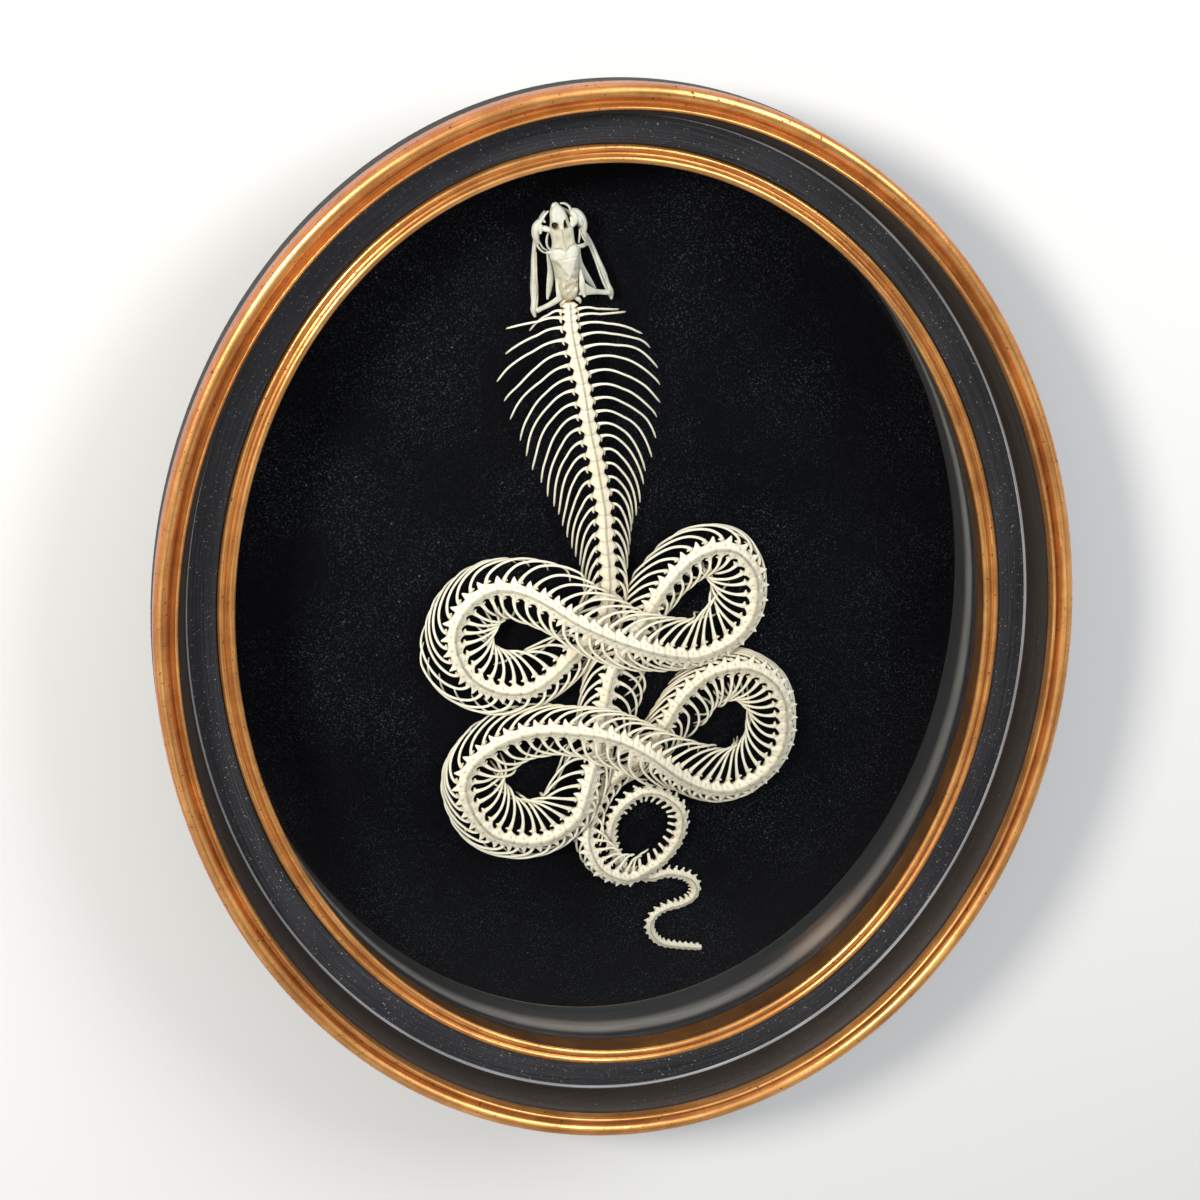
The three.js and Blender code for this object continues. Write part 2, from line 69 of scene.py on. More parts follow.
# Waypoints of the column's middle: [x, y, height above the velvet].
ROUTE = {
    "neck": [[5.4, 120.2, 12], [4.5, 112, 12.5], [4.5, 101, 13], [5, 92, 13], [5, 82, 13], [5, 72, 12.5],
        [5.5, 61.5, 12], [5.5, 50.5, 12], [5.5, 39.5, 11.5], [4.5, 29, 11], [4, 16.5, 9.5], [2.5, 4, 8]],
    "upperLeftLoop": [[-3.5, -9, 7.5], [-13.5, -15.5, 8], [-24.5, -21.5, 10], [-33, -24, 11],
        [-40.5, -23, 11], [-47.5, -19.5, 11], [-54, -12.5, 11], [-57, -4, 11], [-57, 4.5, 11],
        [-54, 11.5, 11], [-48, 17, 11], [-40.5, 19.5, 11], [-34, 18, 11], [-28, 15, 12.5]],
    "upperCrossing": [[-22, 10.5, 15], [-12.5, 1.5, 18.5], [-0.5, -8, 19], [11.5, -16, 19],
        [20.5, -21.5, 17]],
    "upperRightLoop": [[30, -26, 14.5], [40.5, -26, 12.5], [48, -24, 11], [54, -18.5, 11], [57.5, -10, 11],
        [58, -0.5, 11], [55, 7, 11], [51, 11.5, 11], [44.5, 13.5, 11], [37, 12.5, 11], [30.5, 9, 11],
        [23, 2, 10]],
    "middle": [[17, -6, 8.5], [9.5, -16, 7.5], [0, -26, 8.2], [-5, -37.5, 8.5], [-8, -48.5, 8]],
    "lowerLeftLoop": [[-11.5, -58, 9], [-15.5, -65, 11], [-19.5, -72.5, 13], [-23.5, -80, 13],
        [-30.5, -85.5, 12], [-39, -88, 11], [-48.5, -85.5, 11], [-57, -80, 11], [-61.5, -73, 11],
        [-64, -64.5, 11], [-64, -56, 11], [-61, -50, 11], [-56, -46, 11], [-47.5, -42.5, 11],
        [-38, -41, 12]],
    "lowerCrossing": [[-28.5, -41.5, 14], [-20.5, -43, 17], [-11.5, -46, 19], [-3, -51.5, 19],
        [5, -59, 19], [14, -70.5, 17]],
    "lowerRightLoop": [[22, -79.5, 14], [30, -85.5, 12], [38.5, -88, 11], [47.5, -86, 11], [55, -81, 11],
        [60, -73.5, 11], [62, -65.5, 11], [62.5, -56.5, 11], [60.5, -49, 11], [56, -42.5, 11],
        [50, -38, 11], [44, -36.5, 11], [37, -36.5, 11], [30.5, -39.5, 10], [23, -45.5, 9]],
    "trunkEnd": [[17.5, -53, 8], [10.5, -62, 7], [1, -69.5, 6], [-8, -74.5, 5.3], [-13.5, -80.5, 5.3],
        [-18.5, -88, 6], [-21, -94, 8], [-21, -100, 10], [-19, -106.5, 11]],
    "tailLoop": [[-14, -112, 11], [-8, -115.5, 10], [-1, -115, 8.5], [6.5, -113, 7], [12.5, -107.5, 7],
        [16, -101, 7], [16.5, -93.5, 7], [13.5, -88, 7], [9.5, -84, 7], [4, -82, 6.5], [-1.5, -83.5, 6],
        [-6, -87, 5], [-9.5, -92, 4], [-11.5, -98.5, 3.5], [-11, -106, 3.2], [-9, -113.5, 3.2]],
    "tailTip": [[-4, -119, 3.5], [1.5, -121.5, 4], [7.5, -121.5, 4], [13.5, -124, 4], [17.5, -127.5, 4],
        [18.5, -132, 4], [16.5, -135.5, 4], [11.5, -137, 4], [6, -137, 4], [1, -138.5, 4], [-2, -142, 4],
        [-2, -147, 3.6], [1, -152.5, 3], [6.5, -156, 2.6], [15.5, -160, 2.2]],
}

LENGTHS = [("hood", HOOD_END), ("neck", 136), ("upper_left_loop", 262), ("upper_crossing", 316),
           ("upper_right_loop", 434), ("middle", 498), ("lower_left_loop", 622), ("lower_crossing", 688),
           ("lower_right_loop", 815), ("trunk_end", 905), ("tail_loop", 1003), ("tail_tip", 1e9)]

# Tables of (distance along the column, value).
PITCH = [(0, 1.8), (1.8, 2.1), (3.8, 2.6), (6.4, 4), (10.5, 4.5), (15, 4.7), (25, 5), (45, 5), (55, 5.4),
         (700, 5.4), (730, 5.1), (780, 4.7), (880, 4.7), (905, 4.3), (945, 3.7), (985, 3.2), (1020, 2.6)]
GIRTH = [(0, 0.78), (10, 0.85), (60, 0.92), (120, 1), (760, 1), (880, 0.82), (960, 0.7), (1000, 0.62),
         (1045, 0.54), (1075, 0.46), (1090, 0.3)]
# How far a rib's tip trails behind its root: the first ribs differ between the sides.
SWEEP_ON = [(27, 20.5), (38, 24), (48, 26), (60, 25), (90, 19), (760, 18), (870, 10), (RIBS_END, 8)]
SWEEP = {1: [(3, 7), (5.4, 2.7), (8.8, 6.6), (13, 9.8), (17.6, 15), *SWEEP_ON],
         -1: [(3, 5), (5.4, 4.6), (8.8, 12.6), (13, 14), (17.6, 16), *SWEEP_ON]}
# How far the tips stand out, by the place of the tip.
REACH = {
    1: [(8.2, 21.5), (9.7, 13.4), (10.4, 13.4), (15.3, 23.7), (22.9, 28.2), (32.6, 27.1), (40, 26), (46, 25),
        (62, 21.5), (73, 18), (90, 13.2), (105, 8.8),
        (130, 7), (146, 8.5), (160, 13.3), (190, 12), (210, 16), (228, 14), (245, 10), (260, 8.5), (280, 11),
        (290, 11.5), (320, 6.7), (345, 5.8), (370, 5), (385, 7.3), (395, 9.5), (410, 10.6), (447, 8.3),
        (495, 10.6), (505, 15.4), (520, 16), (545, 14.3), (570, 14.8), (580, 16.3), (590, 13), (610, 11.3),
        (650, 10.4), (680, 6.4), (700, 7.5), (740, 5.4), (760, 4.5), (795, 4.5), (810, 6), (835, 5.2),
        (848, 4.8), (865, 4.5), (905, 4)],
    -1: [(8, 19.3), (10, 22), (20, 25.5), (25, 27.8), (33, 29.2), (40, 29.4), (48, 28.6),
         (62, 24.5), (74, 19), (90, 12.8), (115, 7.4),
         (146, 10.5), (170, 10.8), (190, 12.6), (197, 13.9), (210, 9.4), (230, 8.5), (240, 9.9), (258, 15.6),
         (270, 14.5), (290, 12.3), (315, 13.6), (327, 17.6), (345, 15), (365, 13.5), (385, 10), (397, 8.2),
         (415, 7.6), (435, 9), (450, 14.6), (466, 13), (490, 9.5), (520, 8), (540, 10.3), (575, 7.1),
         (590, 9), (610, 8.2), (655, 10.3), (680, 16.1), (712, 12.7), (735, 12.5), (780, 14.9), (795, 15.3),
         (812, 12), (832, 8), (842, 5.5), (860, 4.8), (868, 8.5), (885, 9.5), (905, 6)],
}


def look_up(table, at):
    xs, ys = zip(*table)
    return np.interp(at, xs, ys)


def cubic(b, c, slope_b, slope_c, t):
    """Curve from b to c with a slope at each end."""
    bend = 3 * (c - b) - 2 * slope_b - slope_c
    twist = 2 * (b - c) + slope_b + slope_c
    return b + slope_b * t + bend * t ** 2 + twist * t ** 3


def full_turn(steps):
    return np.arange(steps) / steps * 2 * np.pi


def place_in_scene(name, data):
    made = bpy.data.objects.new(name, data)
    bpy.context.scene.collection.objects.link(made)
    return made


# ---------- meshes ----------
class Solid:
    """Closed lofts gathered into one mesh, in mm, with a tone for each point."""

    def __init__(self):
        self.points, self.quads, self.tones, self.count = [], [], [], 0

    def loft(self, rings, tone=0.0):
        """Rings of (n, m, 3) points, closed at both ends round their middles."""
        rings = np.asarray(rings, float)
        n, m, _ = rings.shape
        points = np.vstack([rings.reshape(-1, 3), rings[0].mean(0), rings[-1].mean(0)])
        i = (np.arange(n - 1)[:, None] * m + np.arange(m)).ravel()
        j = (np.arange(n - 1)[:, None] * m + (np.arange(m) + 1) % m).ravel()
        sides = np.stack([i, j, j + m, i + m], -1)
        k = np.arange(m)
        first = np.stack([np.full(m, n * m), (k + 1) % m, k, k], -1)
        last = np.stack([np.full(m, n * m + 1), (n - 1) * m + k, (n - 1) * m + (k + 1) % m,
                         (n - 1) * m + (k + 1) % m], -1)
        faces = np.vstack([sides, first, last])
        a, b, c, d = (points[faces[:, q]] - points[0] for q in range(4))
        volume = (a * np.cross(b, c)).sum() + (a * np.cross(c, d)).sum()
        if volume < 0:
            faces = np.where(faces[:, 2:3] == faces[:, 3:4], faces[:, [0, 2, 1, 1]], faces[:, ::-1])
        if np.ndim(tone) == 1:
            tone = np.asarray(tone, float).reshape(-1, 1)
        tones = np.broadcast_to(tone, (n, m))
        self.points.append(points)
        self.tones.append(np.concatenate([tones.ravel(), [tones[0].mean(), tones[-1].mean()]]))
        self.quads.append(faces + self.count)
        self.count += len(points)

    def tube(self, line, radii, sides=8, flat=1.0, tone=0.0):
        """Round bar along a line of points, with a radius at each; flat squashes it up and down."""
        line = np.asarray(line, float)
        radii = np.broadcast_to(np.asarray(radii, float), (len(line),))
        along = np.gradient(line, axis=0)
        along /= np.linalg.norm(along, axis=1)[:, None] + 1e-9
        up = np.array([0, 0, 1.0])
        across = np.cross(along, up)
        across /= np.linalg.norm(across, axis=1)[:, None] + 1e-9
        over = np.cross(across, along)
        turn = full_turn(sides)
        rings = (line[:, None] + radii[:, None, None] * (across[:, None] * np.cos(turn)[None, :, None]
                 + flat * over[:, None] * np.sin(turn)[None, :, None]))
        self.loft(rings, tone)

    def piece(self, name, surface, smooth_angle=50):
        points = np.vstack(self.points) * MM
        faces = [list(f) if f[2] != f[3] else list(f[:3]) for f in np.vstack(self.quads).tolist()]
        mesh = bpy.data.meshes.new(name)
        mesh.from_pydata(points.tolist(), [], faces)
        tone = mesh.attributes.new("tone", "FLOAT", "POINT")
        tone.data.foreach_set("value", np.concatenate(self.tones).astype(np.float32))
        mesh.shade_smooth()
        mesh.set_sharp_from_angle(angle=math.radians(smooth_angle))
        mesh.materials.append(surface)
        return place_in_scene(name, mesh)


def register(made, slot_name, *nodes):
    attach(made, "root")
    if nodes:
        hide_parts(*nodes)
    return made


# ---------- materials ----------
class Nodes:
    """Short way to build the shader of a material or a world: node kinds and inputs by name or number."""

    def __init__(self, owner, output="OutputMaterial"):
        owner.use_nodes = True
        self.owner = owner
        self.tree = owner.node_tree
        self.tree.nodes.clear()
        self.output = self.add(output)

    def add(self, kind, inputs=None, **settings):
        node = self.tree.nodes.new("ShaderNode" + kind)
        for key, value in settings.items():
            setattr(node, key, value)
        for key, value in (inputs or {}).items():
            if isinstance(value, bpy.types.NodeSocket):
                self.tree.links.new(value, node.inputs[key])
            else:
                node.inputs[key].default_value = value
        return node

    def place(self, scale=(1, 1, 1), uv=False):
        source = self.add("TexCoord").outputs["UV" if uv else "Object"]
        return self.add("Mapping", {"Vector": source, "Scale": scale}).outputs["Vector"]

    def noise(self, scale, detail=4, roughness=0.6, vector=None):
        vector = self.place() if vector is None else vector
        settings = {"Vector": vector, "Scale": scale, "Detail": detail, "Roughness": roughness}
        return self.add("TexNoise", settings).outputs["Fac"]

    def ramp(self, value, low, high, start=0.0, end=1.0):
        return self.add("MapRange", {"Value": value, "From Min": low, "From Max": high, "To Min": start,
                                     "To Max": end}).outputs["Result"]

    def mix(self, amount, a, b):
        inputs = {0: amount, 6: self.colour(a), 7: self.colour(b)}
        return self.add("Mix", inputs, data_type="RGBA").outputs[2]

    def colour(self, value):
        return value if isinstance(value, bpy.types.NodeSocket) else (*value, 1)

    def math(self, operation, a, b=0.0):
        return self.add("Math", {0: a, 1: b}, operation=operation).outputs[0]

    def bump(self, height, strength=0.3, distance=0.0002):
        settings = {"Height": height, "Strength": strength, "Distance": distance}
        return self.add("Bump", settings).outputs["Normal"]

    def finish(self, colour, roughness=0.5, **inputs):
        names = {key.replace("_", " "): value for key, value in inputs.items()}
        names = {"Base Color": self.colour(colour), "Roughness": roughness, **names}
        return self.show(self.add("BsdfPrincipled", names))

    def show(self, shader):
        self.tree.links.new(shader.outputs[0], self.output.inputs[0])
        return self.owner


def material_nodes(name):
    return Nodes(bpy.data.materials.new(name))


def bone_material(name, light, tan_stain_and_shade, mottled):
    """Bleached bone, tan in its creases as painted shade from ambient occlusion: a tone under 0 turns it
    grey, and one over 1 as dark as a hole, painted shade for an opening.
    """
    n = material_nodes(name)
    tone = n.add("Attribute", attribute_name="tone").outputs["Fac"]
    mottle = n.ramp(n.noise(190, 5, 0.65), 0.4, 0.72)
    blotch = n.ramp(n.noise(26, 3), 0.45, 0.75)
    # Ambient occlusion mixes in the tan colour where creases are shaded: painted shade.
    occlusion = n.add("AmbientOcclusion", {"Distance": 0.003}, samples=6).outputs["AO"]
    painted_crease_shade = n.ramp(occlusion, 0.25, 0.9, 1, 0)
    base = n.mix(n.math("MULTIPLY", mottle, mottled), light, tan_stain_and_shade)
    base = n.mix(n.math("MULTIPLY", blotch, 0.3), base, (0.86, 0.7, 0.47))
    base = n.mix(n.math("MULTIPLY", painted_crease_shade, 0.85), base, tan_stain_and_shade)
    base = n.mix(n.math("MINIMUM", tone, 1.0), base, tan_stain_and_shade)
    # A tone over 1 paints near black: painted shade for a hole.
    base = n.mix(n.math("MAXIMUM", n.math("SUBTRACT", tone, 1.0), 0.0), base, (0.03, 0.02, 0.012))
    base = n.mix(n.math("MAXIMUM", n.math("MULTIPLY", tone, -1.0), 0.0), base, (0.4, 0.355, 0.28))
    height = n.noise(420, 5, 0.7)
    return n.finish(base, 0.45, Normal=n.bump(height, 0.35, 0.0003), Specular_IOR_Level=0.45)


def gilt_material(name, bright, shade, wear, metal=0.8):
    """Old gilding: bright where rubbed, red-brown in the shade, with dark worn spots."""
    n = material_nodes(name)
    streak = n.place((25, 900, 1), uv=True)
    rubbed = n.ramp(n.noise(1, 4, 0.6, streak), 0.35, 0.65)
    patch = n.ramp(n.noise(45, 5, 0.7), 0.38, 0.62)
    chip = n.ramp(n.noise(600, 3, 0.6), 0.7 - 0.12 * wear, 0.76 - 0.1 * wear)
    base = n.mix(n.math("MULTIPLY", rubbed, 0.7), bright, shade)
    base = n.mix(n.math("MULTIPLY", patch, 0.6), base, shade)
    base = n.mix(n.math("MULTIPLY", chip, 0.85), base, (0.04, 0.018, 0.008))
    rough = n.ramp(chip, 0, 1, 0.3, 0.7)
    return n.finish(base, rough, Metallic=metal, Normal=n.bump(n.noise(700, 4), 0.35, 0.0002))


def paint_material(name, colour, dust, streaks, dusty):
    """Black satin paint with brush streaks along the moulding and settled dust."""
    n = material_nodes(name)
    brushed = n.ramp(n.noise(1, 6, 0.65, n.place((14, 2400, 1), uv=True)), 0.42, 0.75)
    cloud = n.ramp(n.noise(30, 5, 0.7), 0.45, 0.75)
    speck = n.ramp(n.noise(1500, 2, 0.5), 0.68, 0.74)
    base = n.mix(n.math("MULTIPLY", brushed, streaks), colour, dust)
    base = n.mix(n.math("MULTIPLY", cloud, 0.35 * dusty), base, dust)
    base = n.mix(n.math("MULTIPLY", speck, dusty), base, (0.35, 0.34, 0.32))
    roughness = n.ramp(brushed, 0, 1, 0.5, 0.75)
    return n.finish(base, roughness, Normal=n.bump(brushed, 0.25, 0.0002), Specular_IOR_Level=0.2)


def velvet_material():
    """Black pile with pale fibres that show in patches, and specks of lint."""
    n = material_nodes("velvet_black")
    fibre = n.ramp(n.noise(1500, 2, 0.7), 0.57, 0.68)
    patchy = n.ramp(n.noise(24, 4, 0.65), 0.4, 0.66, 0.06, 1)
    cloud = n.ramp(n.noise(14, 4, 0.6), 0.35, 0.75)
    cells = n.add("TexVoronoi", {"Vector": n.place(), "Scale": 330.0, "Randomness": 1.0})
    near = n.ramp(cells.outputs["Distance"], 0.05, 0.16, 1, 0)
    picked = n.ramp(n.add("SeparateColor", {"Color": cells.outputs["Color"]}).outputs[0], 0.86, 0.89)
    lint = n.math("MULTIPLY", n.math("MULTIPLY", near, picked), patchy)
    base = n.mix(n.math("MULTIPLY", cloud, 0.6), (0.0014, 0.0014, 0.002), (0.004, 0.004, 0.0065))
    base = n.mix(n.math("MULTIPLY", fibre, patchy), base, (0.055, 0.055, 0.07))
    base = n.mix(n.math("MULTIPLY", lint, 0.6), base, (0.24, 0.22, 0.2))
    return n.finish(base, 0.95, Normal=n.bump(fibre, 0.6, 0.0003), Specular_IOR_Level=0.06,
                    Sheen_Weight=0.03, Sheen_Roughness=0.4)


def glass_material():
    n = material_nodes("glass_clear")
    clear = n.add("BsdfTransparent", {"Color": (0.97, 0.985, 0.985, 1)})
    gloss = n.add("BsdfGlossy", {"Color": (1, 1, 1, 1), "Roughness": 0.03})
    rim = n.add("Fresnel", {"IOR": 1.3}).outputs[0]
    return n.show(n.add("MixShader", {0: rim, 1: clear.outputs[0], 2: gloss.outputs[0]}))


def wood_material(name, light, dark):
    n = material_nodes(name)
    grain = n.noise(1, 6, 0.6, n.place((260, 9, 9)))
    base = n.mix(n.ramp(grain, 0.3, 0.7), light, dark)
    return n.finish(base, 0.75, Normal=n.bump(grain, 0.3, 0.0002))


def lining_material():
    """Smooth lining: dark grey by the velvet, a pale band of painted light and reflection half way up, dark
    again under the glass as painted shade.
    """
    n = material_nodes("lining_grey_painted_light")
    height = n.add("SeparateXYZ", {0: n.place()}).outputs[2]
    smudge = n.noise(1, 4, 0.6, n.place((60, 60, 900)))
    # The pale band half way up is painted light and reflection.
    base = n.mix(n.ramp(height, 0.019, 0.0245), (0.062, 0.068, 0.068), (0.5, 0.47, 0.45))
    # The dark band under the glass is painted shade.
    base = n.mix(n.ramp(height, 0.0275, 0.0305), base, (0.07, 0.07, 0.075))
    base = n.mix(n.math("MULTIPLY", n.ramp(smudge, 0.42, 0.7), 0.45), base, (0.12, 0.12, 0.125))
    return n.finish(base, 0.4)


BONE = bone_material("bone_ivory", (0.94, 0.875, 0.72), (0.64, 0.44, 0.24), 0.22)
SKULL = bone_material("bone_skull", (0.69, 0.67, 0.585), (0.4, 0.32, 0.2), 0.6)
GILT = gilt_material("gilt_worn", (0.88, 0.44, 0.14), (0.34, 0.12, 0.03), 0.6)
# Red-brown copy of the gilt for the rail's outward side and the fillet below it: painted shade.
GILT_OUTER_SHADE = gilt_material("gilt_red_outer_painted_shade", (0.6, 0.24, 0.085), (0.3, 0.09, 0.03), 0.6, 0.6)
# Darker orange gilt for the grooves: painted shade in the grooves.
GILT_GROOVE_SHADE = gilt_material("gilt_groove_painted_shade", (0.6, 0.24, 0.05), (0.24, 0.08, 0.02), 0.2, 0.6)
# Dark brown copy of the gilt for the walls beside the sight beads: painted shade.
GILT_IN_SHADE = gilt_material("gilt_painted_shade", (0.2, 0.085, 0.022), (0.05, 0.02, 0.008), 0.4, 0.5)
CHARCOAL = paint_material("paint_charcoal", (0.009, 0.009, 0.0105), (0.042, 0.042, 0.046), 0.75, 0.7)
# Pale paint for the arris: partly settled dust, partly a painted highlight along the ridge.
ARRIS_DUST_AND_HIGHLIGHT = paint_material("paint_arris_dust_and_highlight", (0.12, 0.115, 0.12), (0.42, 0.41, 0.42), 0.8, 0.9)
COVE = paint_material("paint_cove", (0.012, 0.009, 0.007), (0.045, 0.036, 0.03), 0.4, 0.2)
SIDE = paint_material("paint_side", (0.01, 0.01, 0.011), (0.07, 0.065, 0.06), 0.25, 0.7)
LINING = lining_material()
VELVET = velvet_material()
GLASS = glass_material()
BOARD = wood_material("board_back", (0.34, 0.22, 0.13), (0.16, 0.095, 0.05))


# ---------- frame ----------
def arc(centre_out, centre_z, radius_out, radius_z, start, end, steps=8):
    """Part of an ellipse in a section, in degrees from outward, turning up."""
    turn = np.radians(np.linspace(start, end, steps))
    return [(centre_out + radius_out * math.cos(t), centre_z + radius_z * math.sin(t)) for t in turn]


def oval_ring(name, spans, slot_name, node):
    """Ring with a section of spans: each is (material, points of [outside, z])."""
    section, owner, surfaces = [], [], []
    for surface, points in spans:
        if surface not in surfaces:
            surfaces.append(surface)
        section += points
        owner += [surfaces.index(surface)] * len(points)
    section = np.array(section)
    count = len(section)
    turn = full_turn(RING_STEPS)
    x = (SIGHT[0] + section[None, :, 0]) * np.cos(turn)[:, None]
    y = (SIGHT[1] + section[None, :, 0]) * np.sin(turn)[:, None]
    z = np.broadcast_to(section[None, :, 1], x.shape)
    points = np.stack([x, y, z], -1).reshape(-1, 3) * MM
    step, i = np.meshgrid(np.arange(RING_STEPS), np.arange(count), indexing="ij")
    after, beside = (step + 1) % RING_STEPS, (i + 1) % count
    here, there = step * count, after * count
    faces = np.stack([here + i, there + i, there + beside, here + beside], -1)
    following = np.roll(section, -1, axis=0)
    area = 0.5 * np.sum(section[:, 0] * following[:, 1] - following[:, 0] * section[:, 1])
    if area < 0:
        faces = faces[..., ::-1]
    mesh = bpy.data.meshes.new(name)
    mesh.from_pydata(points.tolist(), [], faces.reshape(-1, 4).tolist())
    for surface in surfaces:
        mesh.materials.append(surface)
    mesh.polygons.foreach_set("material_index", np.array(owner * RING_STEPS, dtype=np.int32))
    width = np.concatenate([[0], np.cumsum(np.hypot(*(following - section).T))]) * MM
    u = np.stack([step, step + 1, step + 1, step], -1) / RING_STEPS
    v = np.stack([width[i], width[i], width[i + 1], width[i + 1]], -1)
    if area < 0:
        u, v = u[..., ::-1], v[..., ::-1]
    uv = mesh.uv_layers.new(name="UVMap")
    uv.data.foreach_set("uv", np.stack([u, v], -1).reshape(-1).astype(np.float32))
    mesh.shade_smooth()
    mesh.set_sharp_from_angle(angle=math.radians(35))
    return register(place_in_scene(name, mesh), slot_name, node)


def oval_plate(name, outside, low, high, surface, slot_name, *nodes):
    turn = full_turn(RING_STEPS)
    rings = []
    for share, z in ((0.02, low), (0.5, low), (1, low), (1, high), (0.97, high), (0.75, high), (0.5, high),
                     (0.2, high)):
        rings.append(np.stack([share * (SIGHT[0] + outside) * np.cos(turn),
                               share * (SIGHT[1] + outside) * np.sin(turn), np.full_like(turn, z)], -1))
    made = Solid()
    made.loft(rings)
    return register(made.piece(name, surface, 30), slot_name, *nodes)


def build_frame():
    foot = RAIL_TOP - 4.6
    rail = [
        # The rail's outward side takes the red-brown gilt: painted shade.
        (GILT_OUTER_SHADE, [(RIM - 8.4, foot), (RIM - 0.4, foot), (RIM, foot + 0.5)]
         + arc(RIM - 2.6, RAIL_TOP - 2.7, 2.6, 2.7, 0, 44, 5)),
        (GILT, arc(RIM - 2.6, RAIL_TOP - 2.7, 2.6, 2.7, 50, 160, 9)
         + [(RIM - 5.3, RAIL_TOP - 2.4), (RIM - 5.9, RAIL_TOP - 3.1)]),
        # The rail's groove takes the darker gilt: painted shade.
        (GILT_GROOVE_SHADE, [(RIM - 6.4, RAIL_TOP - 3.1), (RIM - 6.9, RAIL_TOP - 2.2)]),
        (GILT, arc(RIM - 7.7, RAIL_TOP - 1.2, 0.7, 1.0, 60, 180, 6) + [(RIM - 8.4, RAIL_TOP - 2.4)]),
    ]
    cove = [(ARRIS + 0.7, SIGHT_Z + 0.9)]
    for t in np.linspace(0.06, 1, 14):
        cove.append((ARRIS + 0.7 + (RIM - 8.9 - ARRIS) * (1 - math.cos(t * math.pi / 2)) ** 0.9,
                     SIGHT_Z + 0.9 + (foot - GAP - SIGHT_Z - 0.9) * math.sin(t * math.pi / 2)))
    inner = LIP + GAP
    moulding = [
        (CHARCOAL, [(inner, SIGHT_Z - 0.4), (inner + 0.5, SIGHT_Z - 0.15), (9, SIGHT_Z - 0.05),
                    (12, SIGHT_Z), (ARRIS, SIGHT_Z)]),
        # The arris is painted pale: dust and a painted highlight.
        (ARRIS_DUST_AND_HIGHLIGHT, arc(ARRIS + 0.1, SIGHT_Z + 0.15, 0.17, 0.15, -120, 10, 5)),
        (COVE, cove),
        # The outer fillet takes the red-brown gilt: painted shade.
        (GILT_OUTER_SHADE, [(RIM - 0.3, foot - GAP), (RIM - 0.3, foot - 3)]),
        (SIDE, [(RIM - 0.35, foot - 3.1), (RIM - 0.35, foot - 8.4), (RIM - 1.6, foot - 10),
                (LIP + TUB_WALL + 4.8, TUB_TOP + 1.2), (LIP + TUB_WALL + 4, TUB_TOP + GAP),
                (inner, TUB_TOP + GAP)]),
    ]
    top = SIGHT_Z
    beads = [
        # The walls on both sides of the beads take the dark brown gilt: painted shade.
        (GILT_IN_SHADE, [(1.5, GLASS_TOP + GAP), (0.1, top + 0.2)]),
        (GILT, arc(1.4, top + 0.65, 1.35, 1.25, 180, 25, 9)),
        # The groove between the beads takes the darker gilt: painted shade.
        (GILT_GROOVE_SHADE, [(2.95, top + 0.75), (3.5, top + 0.55), (3.9, top + 0.8)]),
        (GILT, arc(5.0, top + 0.25, 1.1, 1.0, 155, 0, 8)),
        (GILT_IN_SHADE, [(LIP, top - 0.3), (LIP, GLASS_TOP + GAP)]),
    ]
    outer = inner + TUB_WALL
    tub = [(SIDE, [(inner, 0), (outer - 0.6, 0), (outer, 0.6), (outer, TUB_TOP), (inner, TUB_TOP)])]
    under = GLASS_TOP - GLASS_THICK - GAP
    lining = [(LINING, [(1.8, under), (3.9, VELVET_TOP + GAP), (LIP, VELVET_TOP + GAP), (LIP, under)])]
    oval_ring("gilt_rail", rail, "gilt", "frame_gilt_rail")
    oval_ring("moulding", moulding, "ebonised_wood", "frame_moulding")
    oval_ring("sight_beads", beads, "gilt", "frame_sight_beads")
    oval_ring("box_wall", tub, "ebonised_wood", "frame_box_wall")
    oval_ring("lining", lining, "lining", "frame_lining")
    oval_plate("glass_pane", 4.6, GLASS_TOP - GLASS_THICK, GLASS_TOP, GLASS, "glass", "frame_glass")
    oval_plate("velvet_board", LIP - 0.2, 4.3, VELVET_TOP - 0.6, BOARD, "back_board", "frame_velvet_board")
    oval_plate("back_board", LIP, 0, 4, BOARD, "back_board", "frame_back_board")
    velvet = oval_plate("velvet_cloth", VELVET_MARGIN, VELVET_TOP - 0.5, VELVET_TOP, VELVET, "velvet")


